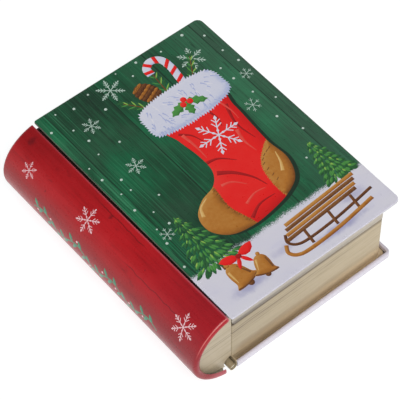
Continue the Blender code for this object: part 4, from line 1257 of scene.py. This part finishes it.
def build_base_wall():
    steps = 12
    y0, y1 = WALL_INSET, COVER_H - WALL_INSET
    radii = (WALL_R_SPINE, WALL_R, WALL_R, WALL_R_SPINE)
    path = outline(WALL_X0, WALL_X1, y0, y1, radii, steps)
    corner = steps + 1
    cuts = []
    for a, b in LID_KNUCKLES[::-1]:
        cuts += [b + FIT, a - FIT]
    path += [(WALL_X0, y, -1.0, 0.0) for y in cuts]
    spine_first = len(path) - len(cuts)
    curl = [(-NECK_IN - 0.7 - 0.7 * math.cos(math.radians(a)), NECK_Z1 - 0.7 + 0.7 * math.sin(math.radians(a)))
            for a in range(-20, 166, 15)]
    profile = curl + [(-NECK_IN, NECK_Z1 - 0.7), (-NECK_IN, SHOULDER_Z + 0.5), (-NECK_IN + 0.12, SHOULDER_Z + 0.25),
                      (-0.45, SHOULDER_Z + 0.02), (-0.2, SHOULDER_Z - 0.1), (-0.05, SHOULDER_Z - 0.3), (0.0, SHOULDER_Z - 0.55), (0.0, CUT_Z)]
    rows = []
    for d, z in profile:
        ring = outline(WALL_X0 - d, WALL_X1 + d, y0 - d, y1 + d, tuple(max(r + d, 0.35) for r in radii), steps)
        ring += [(WALL_X0 - d, y, -1.0, 0.0) for y in cuts]
        rows.append([(x, y, z) for x, y, _, _ in ring])
    low, foot = [], []
    for j, (x, y, nx, ny) in enumerate(path):
        on_spine = j == 0 or j >= spine_first - 1
        low.append((x, y, PIVOT_Z + 0.2 if on_spine else WALL_Z0))
        foot.append((x + nx * FOOT_OUT, y + ny * FOOT_OUT, WALL_Z0) if corner - 1 <= j <= 3 * corner else None)
    rows += [low, foot]
    last = len(profile)
    skip = {(last - 1, spine_first), (last - 1, spine_first + 2)}
    bm = grid_surface(rows, wrap=True, skip=skip)
    bm.normal_update()
    probe = max(bm.faces, key=lambda f: f.calc_area())
    c = probe.calc_center_median()
    if probe.normal.dot(Vector((c.x - (WALL_X0 + WALL_X1) / 2, c.y - Y_MID, 0))) < 0:
        bmesh.ops.reverse_faces(bm, faces=bm.faces[:])
    obj = to_object("page_block_wall", bm, [PAGE, TIN], "base", "base_wall", "page_tan", thickness=SHEET, inner=1)
    tools = []
    for i, (a, b) in enumerate(BASE_KNUCKLES):
        tool = knuckle_strip("knuckle_tool_%d" % i, a, b)
        mod = obj.modifiers.new("knuckle_%d" % i, "BOOLEAN")
        mod.operation = "UNION"
        mod.solver = "EXACT"
        mod.object = tool
        tools.append(tool)
    settle(obj)
    for t in tools:
        bpy.data.objects.remove(t, do_unlink=True)
    return finish_piece(obj, "base", "base_wall")


# ----------------------------------------------------------------- back cover
def build_back_cover():
    path = outline(TRAY_X0, TRAY_X1, TRAY_Y0, TRAY_Y1, (0, TRAY_R, TRAY_R, 0), closed=False)
    r = RIM_W / 2
    profile = [(-0.35, 0.0), (-0.1, 0.1), (0.0, 0.35), (0.0, RIM_H - r)]
    profile += [(-r + r * math.cos(math.radians(a)), RIM_H - r + r * math.sin(math.radians(a))) for a in range(15, 181, 15)]
    profile.append((-RIM_W, 1.8))
    bm = bmesh.new()
    rows = [[bm.verts.new((x + nx * d, y + ny * d, z)) for x, y, nx, ny in path] for d, z in profile]
    for i in range(len(rows) - 1):
        for j in range(len(path) - 1):
            bm.faces.new((rows[i][j], rows[i][j + 1], rows[i + 1][j + 1], rows[i + 1][j]))
    ya, yb = WALL_INSET + SHEET + FIT + 0.05, COVER_H - WALL_INSET - SHEET - FIT - 0.05
    fa, fb = bm.verts.new((TRAY_X0, ya, 0.0)), bm.verts.new((TRAY_X0, yb, 0.0))
    ua, ub = bm.verts.new((TRAY_X0, ya, UPTURN)), bm.verts.new((TRAY_X0, yb, UPTURN))
    bm.faces.new(rows[0][::-1] + [fa, fb])
    bm.faces.new((fa, ua, ub, fb))
    bm.normal_update()
    bmesh.ops.recalc_face_normals(bm, faces=bm.faces[:])
    bm.normal_update()
    floor_face = max(bm.faces, key=lambda f: f.calc_area())
    if floor_face.normal.z > 0:
        bmesh.ops.reverse_faces(bm, faces=bm.faces[:])
    obj = to_object("back_cover_sheet", bm, [LILAC, TIN], "base", "back_cover", "back_white", thickness=SHEET, inner=1)
    settle(obj)
    return finish_piece(obj, "base", "back_cover")


# ----------------------------------------------------------------- hinge wire
def build_wire():
    length = HINGE_Y1 - HINGE_Y0 - 1.0
    y0 = Y_MID - length / 2
    prof = [(0.0, 0.0), (WIRE_R - 0.3, 0.0), (WIRE_R - 0.09, 0.09), (WIRE_R, 0.3)]
    prof = prof + [(rr, length - h) for rr, h in prof[::-1]]
    n = 40
    bm = bmesh.new()
    rows = []
    for rr, h in prof:
        if rr == 0.0:
            rows.append([bm.verts.new((PIVOT_X, y0 + h, PIVOT_Z))])
        else:
            rows.append([bm.verts.new((PIVOT_X + rr * math.cos(2 * math.pi * k / n), y0 + h, PIVOT_Z + rr * math.sin(2 * math.pi * k / n))) for k in range(n)])
    for a, b in zip(rows, rows[1:]):
        for k in range(n):
            j = (k + 1) % n
            if len(a) == 1:
                bm.faces.new((a[0], b[k], b[j]))
            elif len(b) == 1:
                bm.faces.new((a[k], b[0], a[j]))
            else:
                bm.faces.new((a[k], b[k], b[j], a[j]))
    bmesh.ops.recalc_face_normals(bm, faces=bm.faces[:])
    obj = to_object("hinge_wire_rod", bm, [WIRE], "base", "hinge_wire", "wire_steel")
    settle(obj)
    return finish_piece(obj, "base", "hinge_wire")


build_front_cover()
build_lid_frame()
build_spine()
build_cap("spine_end_tail", "spine_cap_tail", False)
build_cap("spine_end_head", "spine_cap_head", True)
build_base_wall()
build_back_cover()
build_wire()

# --------------------------------------------------------------- floor, light
fm = Mat("floor_pale", 0.7, spec=0.2)
fm.colour(fm.mix(fm.noise(fm.mm, 0.01, 2.0), srgb(152, 154, 154), srgb(149, 151, 152)))
fm.bsdf.inputs["Emission Color"].default_value = (0.99, 1.0, 1.0, 1.0)
fm.bsdf.inputs["Emission Strength"].default_value = 0.82
bm = bmesh.new()
bmesh.ops.create_grid(bm, x_segments=1, y_segments=1, size=3.0)
floor_mesh = bpy.data.meshes.new("floor")
bm.to_mesh(floor_mesh)
bm.free()
floor = bpy.data.objects.new("floor", floor_mesh)
floor.location = (0.0, 0.0, -0.0002)
floor_mesh.materials.append(fm.mat)
bpy.context.scene.collection.objects.link(floor)

world = bpy.data.worlds.new("studio")
bpy.context.scene.world = world
world.use_nodes = True
wt = world.node_tree
background = wt.nodes["Background"]
sky = wt.nodes.new("ShaderNodeTexCoord")
split = wt.nodes.new("ShaderNodeSeparateXYZ")
level = wt.nodes.new("ShaderNodeMapRange")
level.interpolation_type = "SMOOTHSTEP"
wt.links.new(sky.outputs["Generated"], split.inputs[0])
wt.links.new(split.outputs["Z"], level.inputs["Value"])
for key_name, val in zip(("From Min", "From Max", "To Min", "To Max"), (0.28, 0.62, 0.74, 0.2)):
    level.inputs[key_name].default_value = val
wt.links.new(level.outputs["Result"], background.inputs["Strength"])
background.inputs["Color"].default_value = (0.99, 0.965, 1.0, 1.0)

sun = bpy.data.lights.new("key", "SUN")
sun.energy = 1.68
sun.angle = math.radians(24)
key = bpy.data.objects.new("key", sun)
key.rotation_euler = (Vector((0.22, 0.53, -0.8))).to_track_quat("-Z", "Y").to_euler()
bpy.context.scene.collection.objects.link(key)

# --------------------------------------------------------------------- camera
cam_data = bpy.data.cameras.new("camera")
cam_data.sensor_width = 36.0
cam_data.lens = 171.0
cam_data.clip_start = 0.05
cam_data.clip_end = 20.0
cam = bpy.data.objects.new("camera", cam_data)
right = Vector((0.768686, -0.639569, -0.008607))
down = Vector((-0.519414, -0.616308, -0.591923))
ahead = Vector((0.373271, 0.459474, -0.805948))
rot = Matrix((right, -down, -ahead)).transposed()
cam.matrix_world = Matrix.Translation((-0.43744, -0.54086, 0.97494)) @ rot.to_4x4()
bpy.context.scene.collection.objects.link(cam)
bpy.context.scene.camera = cam
bpy.context.scene.view_settings.view_transform = "Standard"
